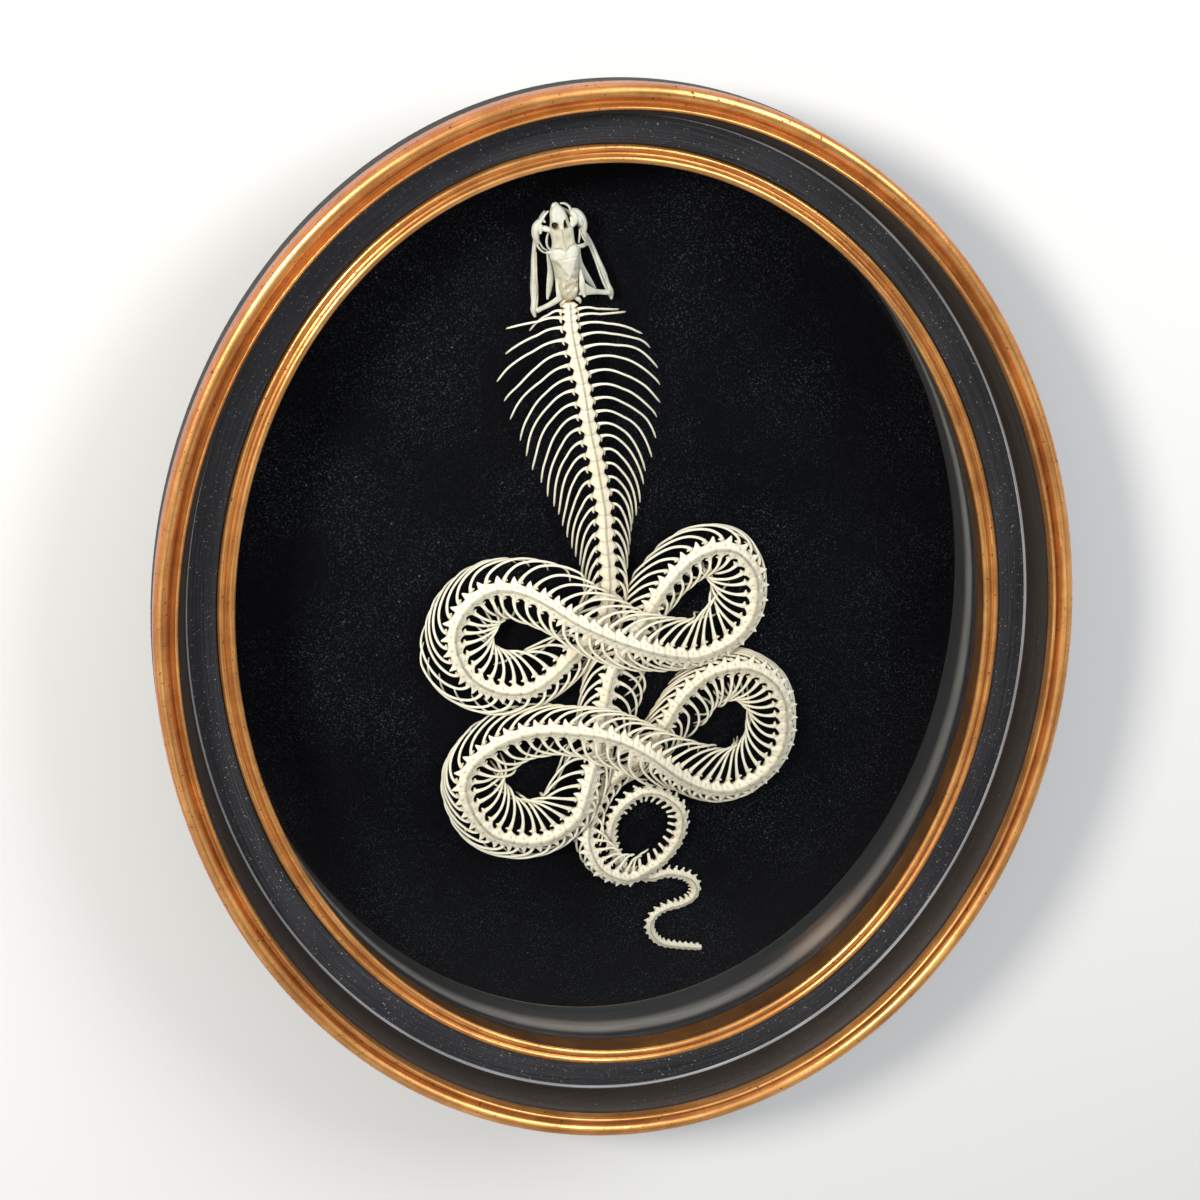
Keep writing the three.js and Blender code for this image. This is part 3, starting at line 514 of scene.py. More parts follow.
# ---------- the column's line ----------
class Line:
    """Smooth curve through the route's waypoints, read by distance along it."""

    def __init__(self):
        way = np.array([(x, y, VELVET_TOP + h) for part in ROUTE.values() for x, y, h in part], float)
        way = np.vstack([2 * way[0] - way[1], way, 2 * way[-1] - way[-2]])
        t = np.linspace(0, 1, 40, endpoint=False)[:, None]
        points = []
        for a, b, c, d in zip(way, way[1:], way[2:], way[3:]):
            ab, bc, cd = (math.sqrt(math.dist(p, q)) for p, q in ((a, b), (b, c), (c, d)))
            m1 = bc * ((b - a) / ab - (c - a) / (ab + bc) + (c - b) / bc)
            m2 = bc * ((c - b) / bc - (d - b) / (bc + cd) + (d - c) / cd)
            points.append(cubic(b, c, m1, m2, t))
        points = np.vstack([*points, way[-2:-1]])
        run = np.concatenate([[0], np.cumsum(np.linalg.norm(np.diff(points, axis=0), axis=1))])
        self.length = run[-1]
        self.at = np.arange(-60, self.length + 60, 0.25)
        inside = np.clip(self.at, 0, self.length)
        self.points = np.stack([np.interp(inside, run, points[:, k]) for k in range(3)], -1)
        middle = np.clip(self.at, 1.5, self.length - 1.5)
        ahead, behind = (np.stack([np.interp(middle + step, run, points[:, k]) for k in range(2)], -1)
                         for step in (1.5, -1.5))
        along = ahead - behind
        along /= np.linalg.norm(along, axis=1)[:, None]
        over = self.at - inside
        self.points[:, :2] += along * over[:, None]
        self.across = np.stack([along[:, 1], -along[:, 0]], -1)
        self.heading = np.unwrap(np.arctan2(along[:, 1], along[:, 0]))

    def beside(self, at, out, up):
        """Points at distances along, out to the snake's left and up, as arrays of one shape."""
        at, out, up = np.broadcast_arrays(np.asarray(at, float), out, up)
        point = np.stack([np.interp(at, self.at, self.points[:, k]) for k in range(3)], -1)
        across = np.stack([np.interp(at, self.at, self.across[:, k]) for k in range(2)], -1)
        across /= np.linalg.norm(across, axis=-1)[..., None]
        point[..., :2] += across * out[..., None]
        point[..., 2] += up
        return point

    def curved(self, root, back, out, up):
        """Points behind a root, followed along the curve."""
        return self.beside(root + back, out, up)

    def straight(self, root, back, out, up):
        """Points behind a root, in the straight frame of the root."""
        back, out, up = np.broadcast_arrays(np.asarray(back, float), out, up)
        point = self.beside(root + back, 0, up)
        across = np.array([np.interp(root, self.at, self.across[:, k]) for k in range(2)])
        across /= np.linalg.norm(across)
        along = np.array([-across[1], across[0]])
        point[..., :2] = self.beside(root, 0, 0)[:2] + back[..., None] * along + out[..., None] * across
        return point

    def bend(self, at, side):
        """How sharply the line bends towards a side, in 1/mm."""
        turn = np.interp(at + 5, self.at, self.heading) - np.interp(at - 5, self.at, self.heading)
        return -side * turn / 10

    def height(self, at):
        return np.interp(at, self.at, self.points[:, 2]) - VELVET_TOP


line = Line()
MARKS_AT = np.arange(0, line.length, 3)
MARKS = line.beside(MARKS_AT, 0, 0)


def over_tail(at, side):
    """Whether a rib is one of those at the trunk's end that lie across the top of the tail."""
    return at > OVER_TAIL_FROM and side < 0


def crowded(tip, at, side, out):
    """Whether a rib's tip comes too near another loop of the column."""
    if over_tail(at, side):
        return False
    near = (np.abs(MARKS_AT - at) > OWN_LOOP) & (np.abs(MARKS[:, 2] - tip[2]) < SAME_LEVEL)
    gap = np.hypot(*(MARKS[near, :2] - tip[:2]).T)
    room = max(2.6, 0.25 * out) if at > TANGLE_FROM else max(5.0, 0.6 * out)
    return len(gap) > 0 and gap.min() < room


# ---------- vertebrae ----------
# Along the vertebra: half width where teeth stand out, half width where a wing leads to the rib,
# roof height, shoulder height, half width of the body.
SPINE_FOOT = 0.42
ARCH = [(-0.07, 2.1, 2.0, 1.75, 0.1, 1.3), (0.0, 2.9, 2.25, 1.85, 0.15, 1.6),
        (0.05, 4.4, 2.4, 1.95, 0.2, 1.8), (0.12, 5.2, 2.55, 2.0, 0.2, 1.8), (0.18, 4.9, 2.7, 2.0, 0.25, 1.7),
        (0.3, 3.8, 3.1, 2.1, 0.35, 1.5), (SPINE_FOOT, 3.1, 3.7, 2.15, 0.5, 1.3),
        (0.56, 2.8, 3.9, 2.2, 0.6, 1.25), (0.68, 2.7, 3.3, 2.25, 0.7, 1.25), (0.8, 2.65, 2.5, 2.3, 0.8, 1.3),
        (0.94, 2.65, 2.3, 2.35, 0.8, 1.35), (1.0, 2.5, 2.2, 2.3, 0.75, 1.15),
        (1.04, 2.0, 1.9, 2.15, 0.7, 0.8)]
# Along the neural spine: how far back, and its top.
SPINE = [(0.08, 2.3), (0.16, 2.9), (0.3, 3.3), (0.5, 3.5), (0.75, 3.6), (0.95, 3.6), (1.04, 3.4), (1.08, 2.7)]


def neckness(at):
    """1 in the neck, whose vertebrae are flat on top and winged, and 0 in the trunk."""
    return float(np.clip((175 - at) / 50, 0, 1))


def winged(at, side):
    """How far a vertebra's side is a wing that leads to its rib, rather than a tooth."""
    return max(neckness(at), float(np.clip((line.bend(at, side) - 0.004) / 0.008, 0, 1)))


def grow_knob(solid, at, pitch, girth, side, rows, *shape):
    """Bar on a vertebra's side through rows of (share of its length, out, up, radius)."""
    along, out, up, radius = np.array(rows).T
    solid.tube(line.beside(at + along * pitch, side * out * girth, up * girth), radius * girth, *shape)


def grow_vertebra(solid, at, pitch, girth):
    rings, tones = [], []
    widest = 9 if at < RIBS_END else 3.6
    neck = neckness(at)
    wing_left, wing_right = (winged(at, side) for side in (1, -1))
    for along, tooth, wing, roof, shoulder, body in ARCH:
        shoulder += 0.75 * neck
        drop = roof - shoulder
        halves = []
        for share in (wing_left, wing_right):
            wide = min(share * wing + (1 - share) * tooth, widest)
            inner = min(2.4, 0.9 * wide)
            between = 0.4 * inner + 0.6 * wide
            halves.append([(0, roof), (0.35 * inner, roof - 0.08 * drop), (0.72 * inner, roof - 0.34 * drop),
                           (inner, shoulder + 0.36 * drop), (between, shoulder + 0.12 * drop),
                           (wide, shoulder - 0.1 - 0.6 * neck), (0.93 * wide, shoulder - 0.45 - 0.7 * neck),
                           (0.6 * wide, shoulder - 0.95 - 0.75 * neck), (0.92 * body, -1.0), (body, -1.7),
                           (0.78 * body, -2.5), (0, -2.8)])
        left, right = halves
        ring = np.array(left + [(-w, h) for w, h in right[-2:0:-1]]) * girth
        rings.append(line.beside(at + along * pitch, ring[:, 0], ring[:, 1]))
        # Below the shoulders the vertebra is painted tan: painted shade on its lower sides and body.
        tone = np.where(ring[:, 1] < -0.5, 0.35, 0.0) + (0.35 if along > 1 else 0) + 0.26 * neck
        if along == SPINE_FOOT:
            tone[[2, -2]] = 1.0 - 0.8 * neck
        tones.append(tone)
    solid.loft(rings, np.array(tones))
    blade = []
    base = 1.6
    for along, top in SPINE:
        top -= 0.42 * neck * (top - base)
        ring = np.array([(0.4, base), (0.34, top - 0.3), (0.22, top - 0.04), (0, top), (-0.22, top - 0.04),
                         (-0.34, top - 0.3), (-0.4, base), (0, base - 0.2)]) * girth
        blade.append(line.beside(at + along * pitch, ring[:, 0], ring[:, 1]))
    # The blade is painted grey, darkest along its top: painted shade for faces turned from the light.
    spine_shade_grey = rng.uniform(-1.0, -0.75)
    solid.loft(blade, np.array([[-0.3, -0.6, spine_shade_grey, spine_shade_grey, spine_shade_grey, -0.6, -0.3, 0]] * len(SPINE)))
    knob = [(0.4, 1.7, -0.9, 0.9), (0.48, 2.3, -0.85, 0.95), (0.55, 2.8, -0.8, 0.85), (0.58, 3.1, -0.8, 0.4)]
    for side in (1, -1):
        grow_knob(solid, at, pitch, girth, side, knob, 8, 1, 0.15)


def grow_tail_process(solid, at, pitch, girth, side):
    """Side process of a tail vertebra: a blunt knob, longer inside the loop just behind the ribs."""
    inside = side < 0 and at < LONG_PROCESSES_END
    reach = 6.4 if inside else look_up([(1000, 4.6), (1050, 3.9), (1090, 2.4)], at)
    finger = [(0.25, 1.6, -0.5, 1.0), (0.33, 2.8, -0.8, 0.9), (0.42, 0.55 * reach + 1.2, -1.2, 0.75),
              (0.52, reach, -1.7, 0.68), (0.54, reach + 0.35, -1.8, 0.3)]
    grow_knob(solid, at, pitch, girth, side, finger, 8, 0.8)
    keel = [(0.4, 0.5, -2.2, 0.6), (0.55, 0.9, -3.1, 0.45), (0.7, 1.0, -3.9, 0.2)]
    grow_knob(solid, at, pitch, girth, side, keel, 6)


def outer_tip(root, side, sweep, bend):
    """How far a rib's tip trails and stands out, measured along and across the curved column."""
    back = sweep / (1 + 3 * max(-bend, 0))
    reach = look_up(REACH[side], root + back)
    for out in np.arange(4.5, reach, 0.5):
        if crowded(line.beside(root + back, side * out, 0), root + back, side, out):
            return back, out
    return back, reach


def inner_tip(root, side, sweep, bend):
    """The same inside a loop, in the straight frame of the rib's root: the tips graze the hole's rim."""
    turn_radius = 1 / bend
    reach = look_up(REACH[side], root + 0.4 * sweep)
    rim = max(turn_radius - reach, 2.8)
    length = math.hypot(reach, sweep) * (1 - 0.15 * min(20 * bend, 1))
    if length ** 2 > turn_radius ** 2 - rim ** 2:
        slant = math.asin(min(rim / turn_radius, 1))
        length = turn_radius * math.cos(slant)
    else:
        slant = math.acos(min((turn_radius ** 2 + length ** 2 - rim ** 2) / (2 * turn_radius * length), 1))
    for share in np.arange(1, 0.3, -0.05):
        out, back = share * length * math.cos(slant), share * length * math.sin(slant)
        if not crowded(line.straight(root, back, side * out, 0), root + back, side, out):
            break
    return back, out


def grow_rib(solid, at, pitch, girth, side):
    """One rib: out from the side of its vertebra, back, and down towards the velvet."""
    root = at + RIB_ROOT * pitch
    hood = float(np.clip((HOOD_END + 45 - root) / 35, 0, 1))
    bend = line.bend(root + 5, side)
    wing = winged(at, side)
    trail = look_up(SWEEP[side], root)
    curved = float(np.clip((bend - 0.006) / 0.01, 0, 1)) if hood == 0 else 0.0
    sweep, reach = outer_tip(root, side, trail, bend)
    if curved > 0:
        inner_sweep, inner_reach = inner_tip(root, side, trail, bend)
        sweep += curved * (inner_sweep - sweep)
        reach += curved * (inner_reach - reach)
    sweep, reach = (value * rng.uniform(0.98, 1.02) for value in (sweep, reach))
    height = line.height(root + sweep)
    rim = hood * 7.5 + (1 - hood) * look_up([(2, 1.2), (7, 4), (11, 6), (16, 4), (20, 3.6)], height)
    floor = look_up([(2, 1.4), (11, 10), (13, 10.5), (16, 6.5), (20, 5.5)], height)
    if over_tail(root + 5, side):
        rim = 0.9
        floor = 1.6
    start = (2.5 + 0.7 * wing) * girth
    t = np.linspace(0, 1, 22)
    # The first ribs are open arcs; further back each bends on until it points along the column.
    turn = t * math.radians(look_up([(10, 56), (30, 68), (50, 80), (75, 90)], root))
    back = sweep * (1 - np.cos(turn)) / (1 - np.cos(turn[-1]))
    back -= 0.7 * hood * np.sin(np.pi * np.clip(t / 0.4, 0, 1))
    out = start + (reach - start) * np.sin(turn) / np.sin(turn[-1])
    up = -0.8 * girth + 0.6 * np.sin(np.pi * np.minimum(2.2 * t, 1)) - (rim - 0.8 * girth) * t ** 2.1
    if hood < 0.5:
        u = np.linspace(0, 1, 9)[1:]
        curl = (1 - hood) * 0.3 * sweep
        tuck = 0.26 * float(np.clip(1 - 60 * bend, 0, 1))
        back = np.concatenate([back, sweep + curl * u])
        out = np.concatenate([out, reach * (1 - tuck * u ** 1.6)])
        up = np.concatenate([up, -rim - (floor - rim) * u])
    radius, fine, finest = (0.47, 0.92, 0.82) if hood > 0.5 else (0.54, 0.8, 0.6)
    radius *= 0.5 + 0.5 * girth
    share = np.linspace(0, 1, len(back))
    thick = radius * np.interp(share, [0, 0.03, 0.08, 0.16, 0.75, 0.96, 1],
                               [1.75, 1.7, 1.3, 1, fine, finest, 0.4])
    tone = np.interp(share, [0, 0.05, 0.12, 0.88, 0.97, 1], [0.3, 0.1, 0, 0, 0.35, 0.55])
    path = line.curved(root, back, side * out, up)
    if curved > 0:
        path += curved * (line.straight(root, back, side * out, up) - path)
    solid.tube(path, thick, 8, 1, tone)
    # Spur that hooks back under the rib's root.
    spur = np.array([(0.2, 0.5, -0.7), (0.8, 0.75, -0.65), (1.4, 0.75, -0.6), (1.9, 0.6, -0.6),
                     (2.15, 0.5, -0.6)])
    spur = spur * [(0.65 + 0.35 * wing) * girth, girth, girth]
    solid.tube(line.beside(root + spur[:, 0], side * (start + spur[:, 1]), spur[:, 2]),
               np.array([0.75, 0.62, 0.45, 0.28, 0.12]) * girth, 8)


def build_column():
    places = [0.0]
    while places[-1] + look_up(PITCH, places[-1]) < line.length:
        places.append(places[-1] + look_up(PITCH, places[-1]))
    start = 0
    for name, end in LENGTHS:
        spine, ribs = Solid(), {1: Solid(), -1: Solid()}
        for k, at in enumerate(places):
            if not start <= at < end:
                continue
            pitch = look_up(PITCH, at)
            girth = look_up(GIRTH, at) * rng.uniform(0.985, 1.015)
            grow_vertebra(spine, at, pitch, girth)
            for side in (1, -1):
                if at >= RIBS_END:
                    grow_tail_process(spine, at, pitch, girth, side)
                elif k > 0:
                    grow_rib(ribs[side], at, pitch, girth, side)
        register(spine.piece(f"vertebrae_{name}", BONE), "bone", f"{name}_left", f"{name}_right")
        for side, label in ((1, "left"), (-1, "right")):
            if ribs[side].count:
                register(ribs[side].piece(f"ribs_{name}_{label}", BONE), "bone")
        start = end


# ---------- skull ----------
def skull_point(forward, sideways, up):
    return np.stack(np.broadcast_arrays(sideways, forward, up), -1).astype(float) + SKULL_AT


def refine(rows, steps):
    """Smooth curve through rows of numbers, with steps between two rows."""
    rows = np.array(rows, float)
    rows = np.vstack([2 * rows[0] - rows[1], rows, 2 * rows[-1] - rows[-2]])
    t = np.linspace(0, 1, steps, endpoint=False)[:, None]
    out = []
    for a, b, c, d in zip(rows, rows[1:], rows[2:], rows[3:]):
        out.append(cubic(b, c, (c - a) / 2, (d - b) / 2, t))
    return np.vstack([*out, rows[-2:-1]])


def skull_bar(solid, rows, tone=0.0, spread=1):
    """Bone along [forward, sideways, up, half width, half height], its sideways places times spread."""
    rows = refine([[forward, spread * sideways, *rest] for forward, sideways, *rest in rows], 6)
    centre = skull_point(rows[:, 0], rows[:, 1], rows[:, 2])
    along = np.gradient(centre, axis=0)
    along /= np.linalg.norm(along, axis=1)[:, None]
    across = np.cross(along, [0, 0, 1.0])
    across /= np.linalg.norm(across, axis=1)[:, None] + 1e-9
    over = np.cross(across, along)
    across *= np.maximum(rows[:, 3:4], 0.15)
    over *= np.maximum(rows[:, 4:5], 0.15)
    turn = full_turn(10)[None, :, None]
    solid.loft(centre[:, None] + across[:, None] * np.cos(turn) + over[:, None] * np.sin(turn), tone)


def soft(value, width):
    """Smooth step from 0 to 1 as a value passes 0."""
    return 1 / (1 + np.exp(-np.clip(value / width, -30, 30)))


# Small bumps and pits over the skull: forward, sideways, size and lift of each.
SPOTS = np.column_stack([rng.uniform(0, 34, 260), rng.uniform(-5, 5.6, 260), rng.uniform(0.3, 0.8, 260),
                         rng.uniform(-0.42, 0.36, 260)])


def cranium_relief(forward, x, top):
    """Height and tone that the roof's plates, seams and holes add at a place on the skull."""
    d = x - 0.45
    aside = np.abs(d)
    seam_at = 20.5 - 1.4 * np.exp(-(d / 1.2) ** 2)
    lobes = soft(seam_at - forward, 0.1) * soft(forward - 16.3, 0.1) * soft(4.6 - aside, 0.2)
    dome = soft(4.0 * (forward - 9.3) / 7 - aside, 0.2) * soft(16.1 - forward, 0.1)
    rear = soft(16.2 - forward, 0.2)
    height = 0.4 * lobes + 0.45 * dome
    tone = 0.5 * rear * (1 - dome) - 0.2 * dome + 0.4 * soft(forward - seam_at, 0.2)
    groove = np.exp(-(d / 0.25) ** 2) * lobes
    height -= 0.25 * groove
    tone += 0.35 * groove
    across = np.exp(-((forward - seam_at - 0.1) / 0.16) ** 2) * soft(4.4 - aside, 0.2)
    height -= 0.3 * across
    tone += 0.6 * across
    front = soft(forward - seam_at, 0.15) * soft(26.7 - forward, 0.15)
    height += front * (0.2 * np.exp(-((d - 0.3) / 0.22) ** 2) - 0.3 * np.exp(-((d + 0.12) / 0.16) ** 2))
    tone += front * 0.6 * np.exp(-((d + 0.12) / 0.16) ** 2)
    for middle in (-2.1, 2.3):
        hollow = np.exp(-((forward - 23.4) / 1.5) ** 2 - ((d - middle) / 1.2) ** 2)
        height -= 0.45 * hollow
        tone += 0.25 * hollow
    plate_half = np.interp(forward, [26.7, 28.4, 30.2, 31.4, 33.2, 34.6], [0.3, 0.6, 2.7, 3.1, 2.3, 0.8])
    plate = soft(plate_half - np.abs(d - 0.1), 0.15) * soft(forward - 26.8, 0.1)
    beyond = soft(forward - 26.9, 0.15)
    height += 0.5 * plate
    tone += beyond * (1 - plate) * 0.3 - 0.75 * plate * beyond
    ring = np.hypot(forward - 28.3, x + 1.5)
    round_hole = soft(0.95 - ring, 0.12)
    slot = soft(0.25 + 0.16 * (29.4 - forward) - np.abs(x - 2.15), 0.08)
    slot = slot * soft(29.4 - forward, 0.1) * soft(forward - 26.8, 0.1)
    # The round hole and the slot are dents painted near black: painted shade for openings.
    height += 0.4 * np.exp(-((ring - 1.3) / 0.25) ** 2) - 2.4 * np.maximum(round_hole, slot)
    tone += 2 * np.maximum(round_hole, slot)
    ear = np.hypot((forward - 6.6) / 0.8, (x - 3.0) / 0.7)
    height += 0.25 * np.exp(-((ear - 1.1) / 0.3) ** 2) - 0.3 * soft(0.7 - ear, 0.15)
    tone += 0.5 * soft(0.7 - ear, 0.15)
    plain = (0.3 + 0.7 * rear) * (1 - 0.8 * np.maximum(lobes, dome))
    for place_f, place_x, size, lift in SPOTS:
        spot = plain * np.exp(-((forward - place_f) ** 2 + (x - place_x) ** 2) / size ** 2)
        height += lift * spot
        tone -= 1.5 * lift * spot
    for place_f, place_x in ((3.4, -1.6), (3.2, 1.9), (6.2, -2.4), (1.4, 0.1)):
        height += 0.4 * np.exp(-((forward - place_f) / 1.1) ** 2 - ((x - place_x) / 0.9) ** 2)
    return top * height, top * tone + 0.05


# Forward, half widths to the left and the right, height of the middle, half height.
CRANIUM = [[0.2, 1.9, 2.0, -0.2, 1.7], [1.4, 2.9, 2.8, 0, 2.6], [4, 3.9, 3.4, 0.4, 3.1],
           [8, 4.1, 4.0, 0.8, 3.3], [12, 4.2, 4.8, 1.2, 3.4], [15, 4.5, 5.3, 1.6, 3.3],
           [17.5, 5.0, 5.9, 1.9, 3.1], [19.2, 4.9, 5.8, 2.1, 2.9], [20.5, 3.8, 4.7, 2.2, 2.7],
           [22.5, 3.3, 4.6, 2.2, 2.5], [25, 3.4, 4.7, 2.2, 2.3], [26.8, 3.9, 4.8, 2.0, 2.2],
           [28.3, 3.0, 3.9, 1.6, 1.9], [30.4, 2.5, 3.6, 1.2, 1.7], [32.4, 2.2, 3.0, 0.8, 1.4],
           [34, 1.5, 2.1, 0.5, 1.1], [34.9, 0.5, 1.2, 0.3, 0.6]]

# The skull's bars: [forward, sideways, up, half width, half height].
# On the cranium each has a tone: the knob of the premaxilla, septomaxillae and prefrontals, then
# postorbitals and the bars in the orbits.
SNOUT = [
    ([[34.3, -0.9, 1.0, 0.6, 0.5], [35, -0.4, 0.9, 0.7, 0.6], [35.2, 0.5, 0.7, 0.5, 0.5],
      [34.6, 1.3, 0.6, 0.3, 0.3]], 0),
    ([[33.2, -2.5, 0.6, 0.3, 0.3], [32, -4, 0.3, 0.5, 0.7], [30.6, -4.9, 0.1, 0.6, 0.8],
      [29.4, -4.2, 0.4, 0.4, 0.5]], 0),
    ([[35, 2.0, 0.7, 0.3, 0.3], [34.4, 3.7, 0.5, 0.42, 0.5], [33, 5.0, 0.4, 0.45, 0.5],
      [31.4, 5.2, 0.5, 0.5, 0.5]], 0),
    ([[26.6, -2.9, 2.3, 0.7, 0.8], [27.5, -4.6, 1.7, 1.05, 0.9], [28, -6.2, 0.9, 0.9, 0.8]], 0.1),
    ([[26.6, 3.8, 2.4, 0.9, 0.9], [28, 5.6, 1.9, 1.5, 1.1], [29.8, 6.1, 1.3, 1.5, 1.2],
      [31.4, 5.2, 0.9, 0.9, 0.8]], 0.1),
    ([[27.4, 4.4, 2.6, 0.4, 0.5], [28.6, 4.9, 2.6, 0.8, 0.5], [30, 4.6, 2.3, 0.5, 0.4]], 0),
    ([[19.4, 4.9, 3.3, 0.5, 0.5], [19.0, 6.6, 2.6, 0.8, 0.6], [18.8, 7.8, 1.7, 0.75, 0.6],
      [19.3, 8.8, 0.6, 0.4, 0.4]], 0.4),
    ([[19.7, -3.3, 3.2, 0.6, 0.6], [19.2, -4.9, 2.5, 0.6, 0.6], [19.1, -5.8, 1.5, 0.45, 0.5]], 0.1),
    ([[25.6, -3.8, 0.6, 0.35, 0.4], [23, -4.7, 0.2, 0.45, 0.4], [20.8, -4.7, 0, 0.4, 0.4],
      [19.3, -4.1, 0.3, 0.4, 0.4]], 0.15),
    ([[24.2, 7.4, 0.4, 0.3, 0.3], [22, 7.0, 0.2, 0.35, 0.4], [19.6, 6.2, 0.5, 0.4, 0.4]], 0.15),
]
# The others are measured sideways from the skull's middle.
ATLAS_WING = [[0.8, 1.6, 0.5, 0.6, 0.8], [-0.3, 2.8, 0.5, 0.9, 0.7], [-1.3, 3.4, 0.2, 0.6, 0.5],
              [-2.1, 3.3, 0, 0.3, 0.3]]
CHEEK = {
    "left": [
        [[30.8, 4.9, 0.3, 0.4, 0.7], [29.8, 6.4, 0.2, 1.2, 1.4], [28.2, 7.6, 0, 1.5, 1.8],
         [25.8, 8.2, -0.2, 1.35, 1.5], [23.6, 8.0, -0.5, 1.0, 1.1], [22.2, 7.3, -0.8, 0.5, 0.6]],
        [[23.4, 8.4, -0.8, 0.4, 0.5], [20.6, 7.7, -1.3, 0.4, 0.4], [18.4, 6.0, -1.6, 0.35, 0.4],
         [18, 4, -1.6, 0.3, 0.3]],
        [[22.8, 7.2, -0.8, 0.3, 0.3], [20.2, 6.2, -1.2, 0.3, 0.3], [18.8, 4.7, -1.2, 0.25, 0.25]],
        [[29.4, 6.0, 1.4, 0.4, 0.4], [28, 6.4, 1.7, 0.8, 0.5], [26.2, 6.8, 1.4, 0.5, 0.4]]],
    "right": [
        [[31.8, 5.4, 0.4, 0.6, 0.9], [30.6, 7.0, 0.3, 1.4, 1.5], [28.2, 8.4, 0, 1.6, 1.8],
         [25.8, 9.2, -0.3, 1.3, 1.5], [23.8, 9.3, -0.7, 0.9, 1.1], [22.4, 9.1, -1, 0.45, 0.6]],
        [[24.4, 8.0, -0.6, 0.6, 0.7], [21.6, 8.9, -1.2, 0.65, 0.7], [18.8, 9.5, -2, 0.6, 0.6],
         [17, 9.9, -3, 0.4, 0.4]],
        [[23.8, 7.4, -0.2, 0.35, 0.5], [21.2, 8.1, -0.4, 0.35, 0.4], [19.4, 8.7, 0.1, 0.3, 0.4]],
        [[30, 7.0, 1.6, 0.4, 0.4], [28, 7.6, 1.9, 0.9, 0.5], [26, 8.3, 1.3, 0.5, 0.4]]],
}
HINGE = {
    "left": [
        [[9.5, 3.9, 2.2, 0.4, 0.35], [6, 4.1, 2.4, 0.7, 0.45], [2.8, 4.0, 2.0, 0.9, 0.5],
         [1.2, 3.8, 1.6, 0.6, 0.5]],
        [[2.4, 3.2, 1.7, 1.2, 0.6], [1.0, 5.4, 1.1, 1.1, 0.6], [-0.4, 7.8, -0.4, 0.95, 0.7],
         [-1.7, 10.2, -2.3, 0.9, 0.8], [-2.3, 11.6, -3, 1.0, 0.9]]],
    "right": [
        [[10.5, 4.9, 2.0, 0.4, 0.35], [7, 4.8, 2.4, 0.9, 0.45], [3.6, 4.6, 2.2, 1.1, 0.5],
         [0.4, 5.0, 1.6, 0.5, 0.4]],
        [[3.6, 4.2, 1.9, 2.5, 0.5], [2.3, 6.2, 1.3, 1.9, 0.55], [1.0, 8.6, 0.1, 1.2, 0.6],
         [-0.4, 11.4, -1.6, 0.9, 0.7], [-1.7, 14.6, -3, 1.0, 0.9]]],
}
PTERYGOID = [[17.2, 6.2, -2.8, 0.4, 0.5], [14.5, 5.9, -3.6, 0.7, 0.4], [11, 5.9, -4.1, 0.9, 0.35],
             [7, 6.7, -4.3, 1.2, 0.35], [3, 8.3, -4.3, 0.9, 0.35], [0.4, 9.5, -4.3, 0.35, 0.25]]
# Body of the lower jaw, the crest in front of its joint, and the ridge above its side groove.
LOWER_JAW = [
    [[-5.4, 14.2, -6, 0.4, 0.5], [-4, 14.3, -5.9, 0.9, 0.9], [-2.4, 14.1, -5.8, 1.3, 1.3],
     [0.5, 13.6, -5.8, 1.0, 1.4], [5, 12.8, -5.9, 1.2, 1.7], [10, 11.8, -6, 1.0, 1.6],
     [17, 10.3, -6.2, 0.8, 1.3], [24, 7.8, -6.4, 0.7, 1.1], [29, 5.2, -6.2, 0.6, 0.8],
     [31.5, 2.8, -6, 0.4, 0.5]],
    [[7.5, 12.0, -4.6, 0.3, 0.6], [4.5, 12.5, -4.2, 0.4, 0.9], [1.5, 13.1, -4.6, 0.3, 0.6]],
    [[-2.5, 13.2, -4.9, 0.3, 0.35], [3, 12.0, -4.6, 0.4, 0.4], [10, 10.9, -4.8, 0.35, 0.4],
     [18, 9.4, -5.3, 0.3, 0.3]],
]


def build_cranium():
    solid = Solid()
    turn = full_turn(132)
    c, s = np.cos(turn), np.sin(turn)
    rings, tones = [], []
    for forward, left, right, up, tall in refine(CRANIUM, 14):
        x = np.where(c < 0, left, right) * np.sign(c) * np.abs(c) ** 0.8
        z = tall * np.sign(s) * np.abs(s) ** 0.8
        lift, tone = cranium_relief(forward, x, np.clip(1.8 * s, 0, 1))
        rings.append(skull_point(np.full(len(turn), forward), x, up + z + lift))
        tones.append(tone)
    solid.loft(rings, np.array(tones))
    for bar, tone in SNOUT:
        skull_bar(solid, bar, tone)
    for side in (1, -1):
        skull_bar(solid, ATLAS_WING, 0, side)
    register(solid.piece("skull_roof_and_braincase", SKULL), "bone", "skull_cranium")


def build_jaws():
    for label, side, palate, jaw in (("left", -1, -0.75, -0.86), ("right", 1, 1.1, 1.12)):
        for name, node, bars, spread, tone in (("cheek", "maxilla", CHEEK[label], side, 0.05),
                                               ("pterygoid", "pterygoid", [PTERYGOID], palate, 0),
                                               ("quadrate", "quadrate", HINGE[label], side, 0.05),
                                               ("mandible", "mandible", LOWER_JAW, jaw, 0.05)):
            bone = Solid()
            for bar in bars:
                skull_bar(bone, bar, tone, spread)
            register(bone.piece(f"skull_{name}_{label}", SKULL), "bone", f"skull_{node}_{label}")


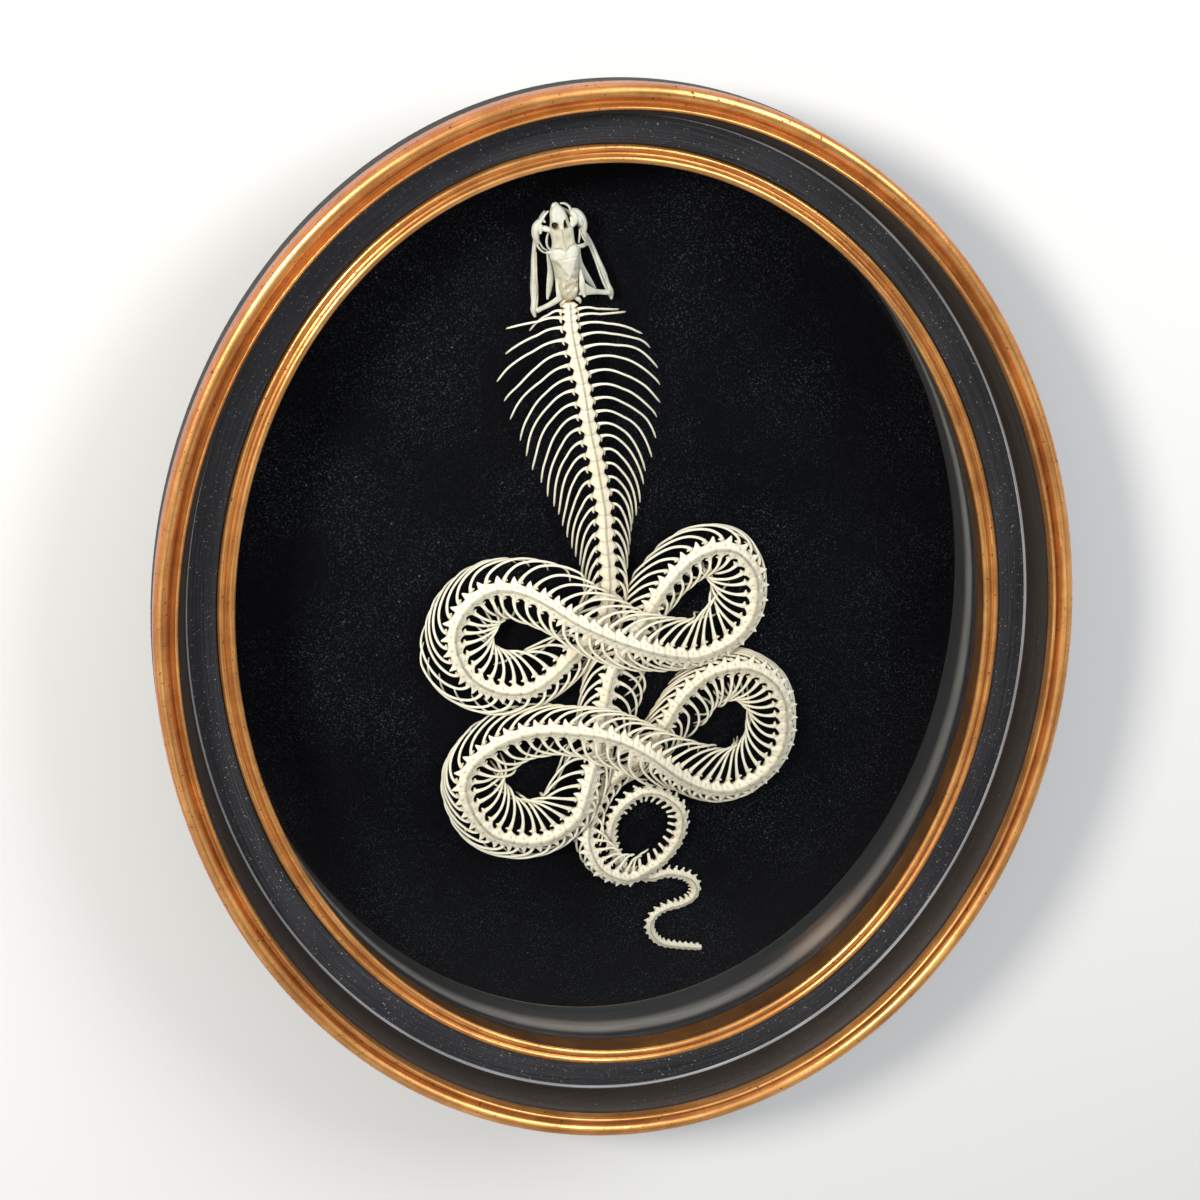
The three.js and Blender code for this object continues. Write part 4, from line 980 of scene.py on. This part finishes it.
# ---------- camera, light, floor ----------
def add_camera():
    """The photo's view, as solved from the frame's outline."""
    tilt, azimuth, roll = (math.radians(angle) for angle in (27.63, 110.88, -9.66))
    distance = 0.9291
    back = Vector((math.sin(tilt) * math.cos(azimuth), math.sin(tilt) * math.sin(azimuth), math.cos(tilt)))
    target = Vector((-6.2, 17.4, 45.0)) * MM
    right = (-back).cross(Vector((0, 1, 0))).normalized()
    up = right.cross(-back)
    turned = right * math.cos(roll) + up * math.sin(roll)
    raised = up * math.cos(roll) - right * math.sin(roll)
    data = bpy.data.cameras.new("camera")
    data.sensor_width = 36
    data.lens = 78
    data.clip_end = 20
    camera = place_in_scene("camera", data)
    rotation = Matrix((turned, raised, back)).transposed().to_4x4()
    camera.matrix_world = Matrix.Translation(target + back * distance) @ rotation
    bpy.context.scene.camera = camera


def add_light(name, place, target, size, power, colour):
    data = bpy.data.lights.new(name, "AREA")
    data.shape = "DISK"
    data.size = size
    data.energy = power
    data.color = colour
    lamp = place_in_scene(name, data)
    lamp.location = place
    lamp.rotation_euler = (Vector(target) - Vector(place)).to_track_quat("-Z", "Y").to_euler()


def add_world():
    """Pale room with a dark place where the glass mirrors it to the camera, so that the glass stays clear."""
    world = bpy.data.worlds.new("room")
    bpy.context.scene.world = world
    n = Nodes(world, "OutputWorld")
    place = n.add("TexCoord").outputs["Generated"]
    shades = []
    for toward, low, high, start, end in (((0.165, -0.38, 0.91), 0.945, 0.988, 1.0, 0.03),
                                          ((-0.5, 0.6, 0.62), -1.0, 1.0, 0.4, 0.8)):
        facing = n.add("VectorMath", {0: place, 1: toward}, operation="DOT_PRODUCT").outputs["Value"]
        shades.append(n.ramp(facing, low, high, start, end))
    n.show(n.add("Background", {"Color": (0.95, 0.97, 1.0, 1), "Strength": n.math("MULTIPLY", *shades)}))


def add_floor():
    half, level = 4, -0.0005
    mesh = bpy.data.meshes.new("floor")
    corners = [(-half, -half, level), (half, -half, level), (half, half, level), (-half, half, level)]
    mesh.from_pydata(corners, [], [(0, 1, 2, 3)])
    mesh.materials.append(material_nodes("floor_pale").finish((0.52, 0.515, 0.505), 0.8))
    floor = place_in_scene("floor", mesh)


build_frame()
build_column()
build_cranium()
build_jaws()
add_camera()
add_world()
add_floor()
add_light("key", (-0.75, 0.75, 1.0), (0, 0, 0.02), 0.3, 27, (1.0, 0.97, 0.92))
add_light("fill", (0.9, 0.6, 1.0), (0, 0, 0.02), 0.8, 17, (0.93, 0.96, 1.0))
bpy.context.scene.view_settings.view_transform = "Standard"
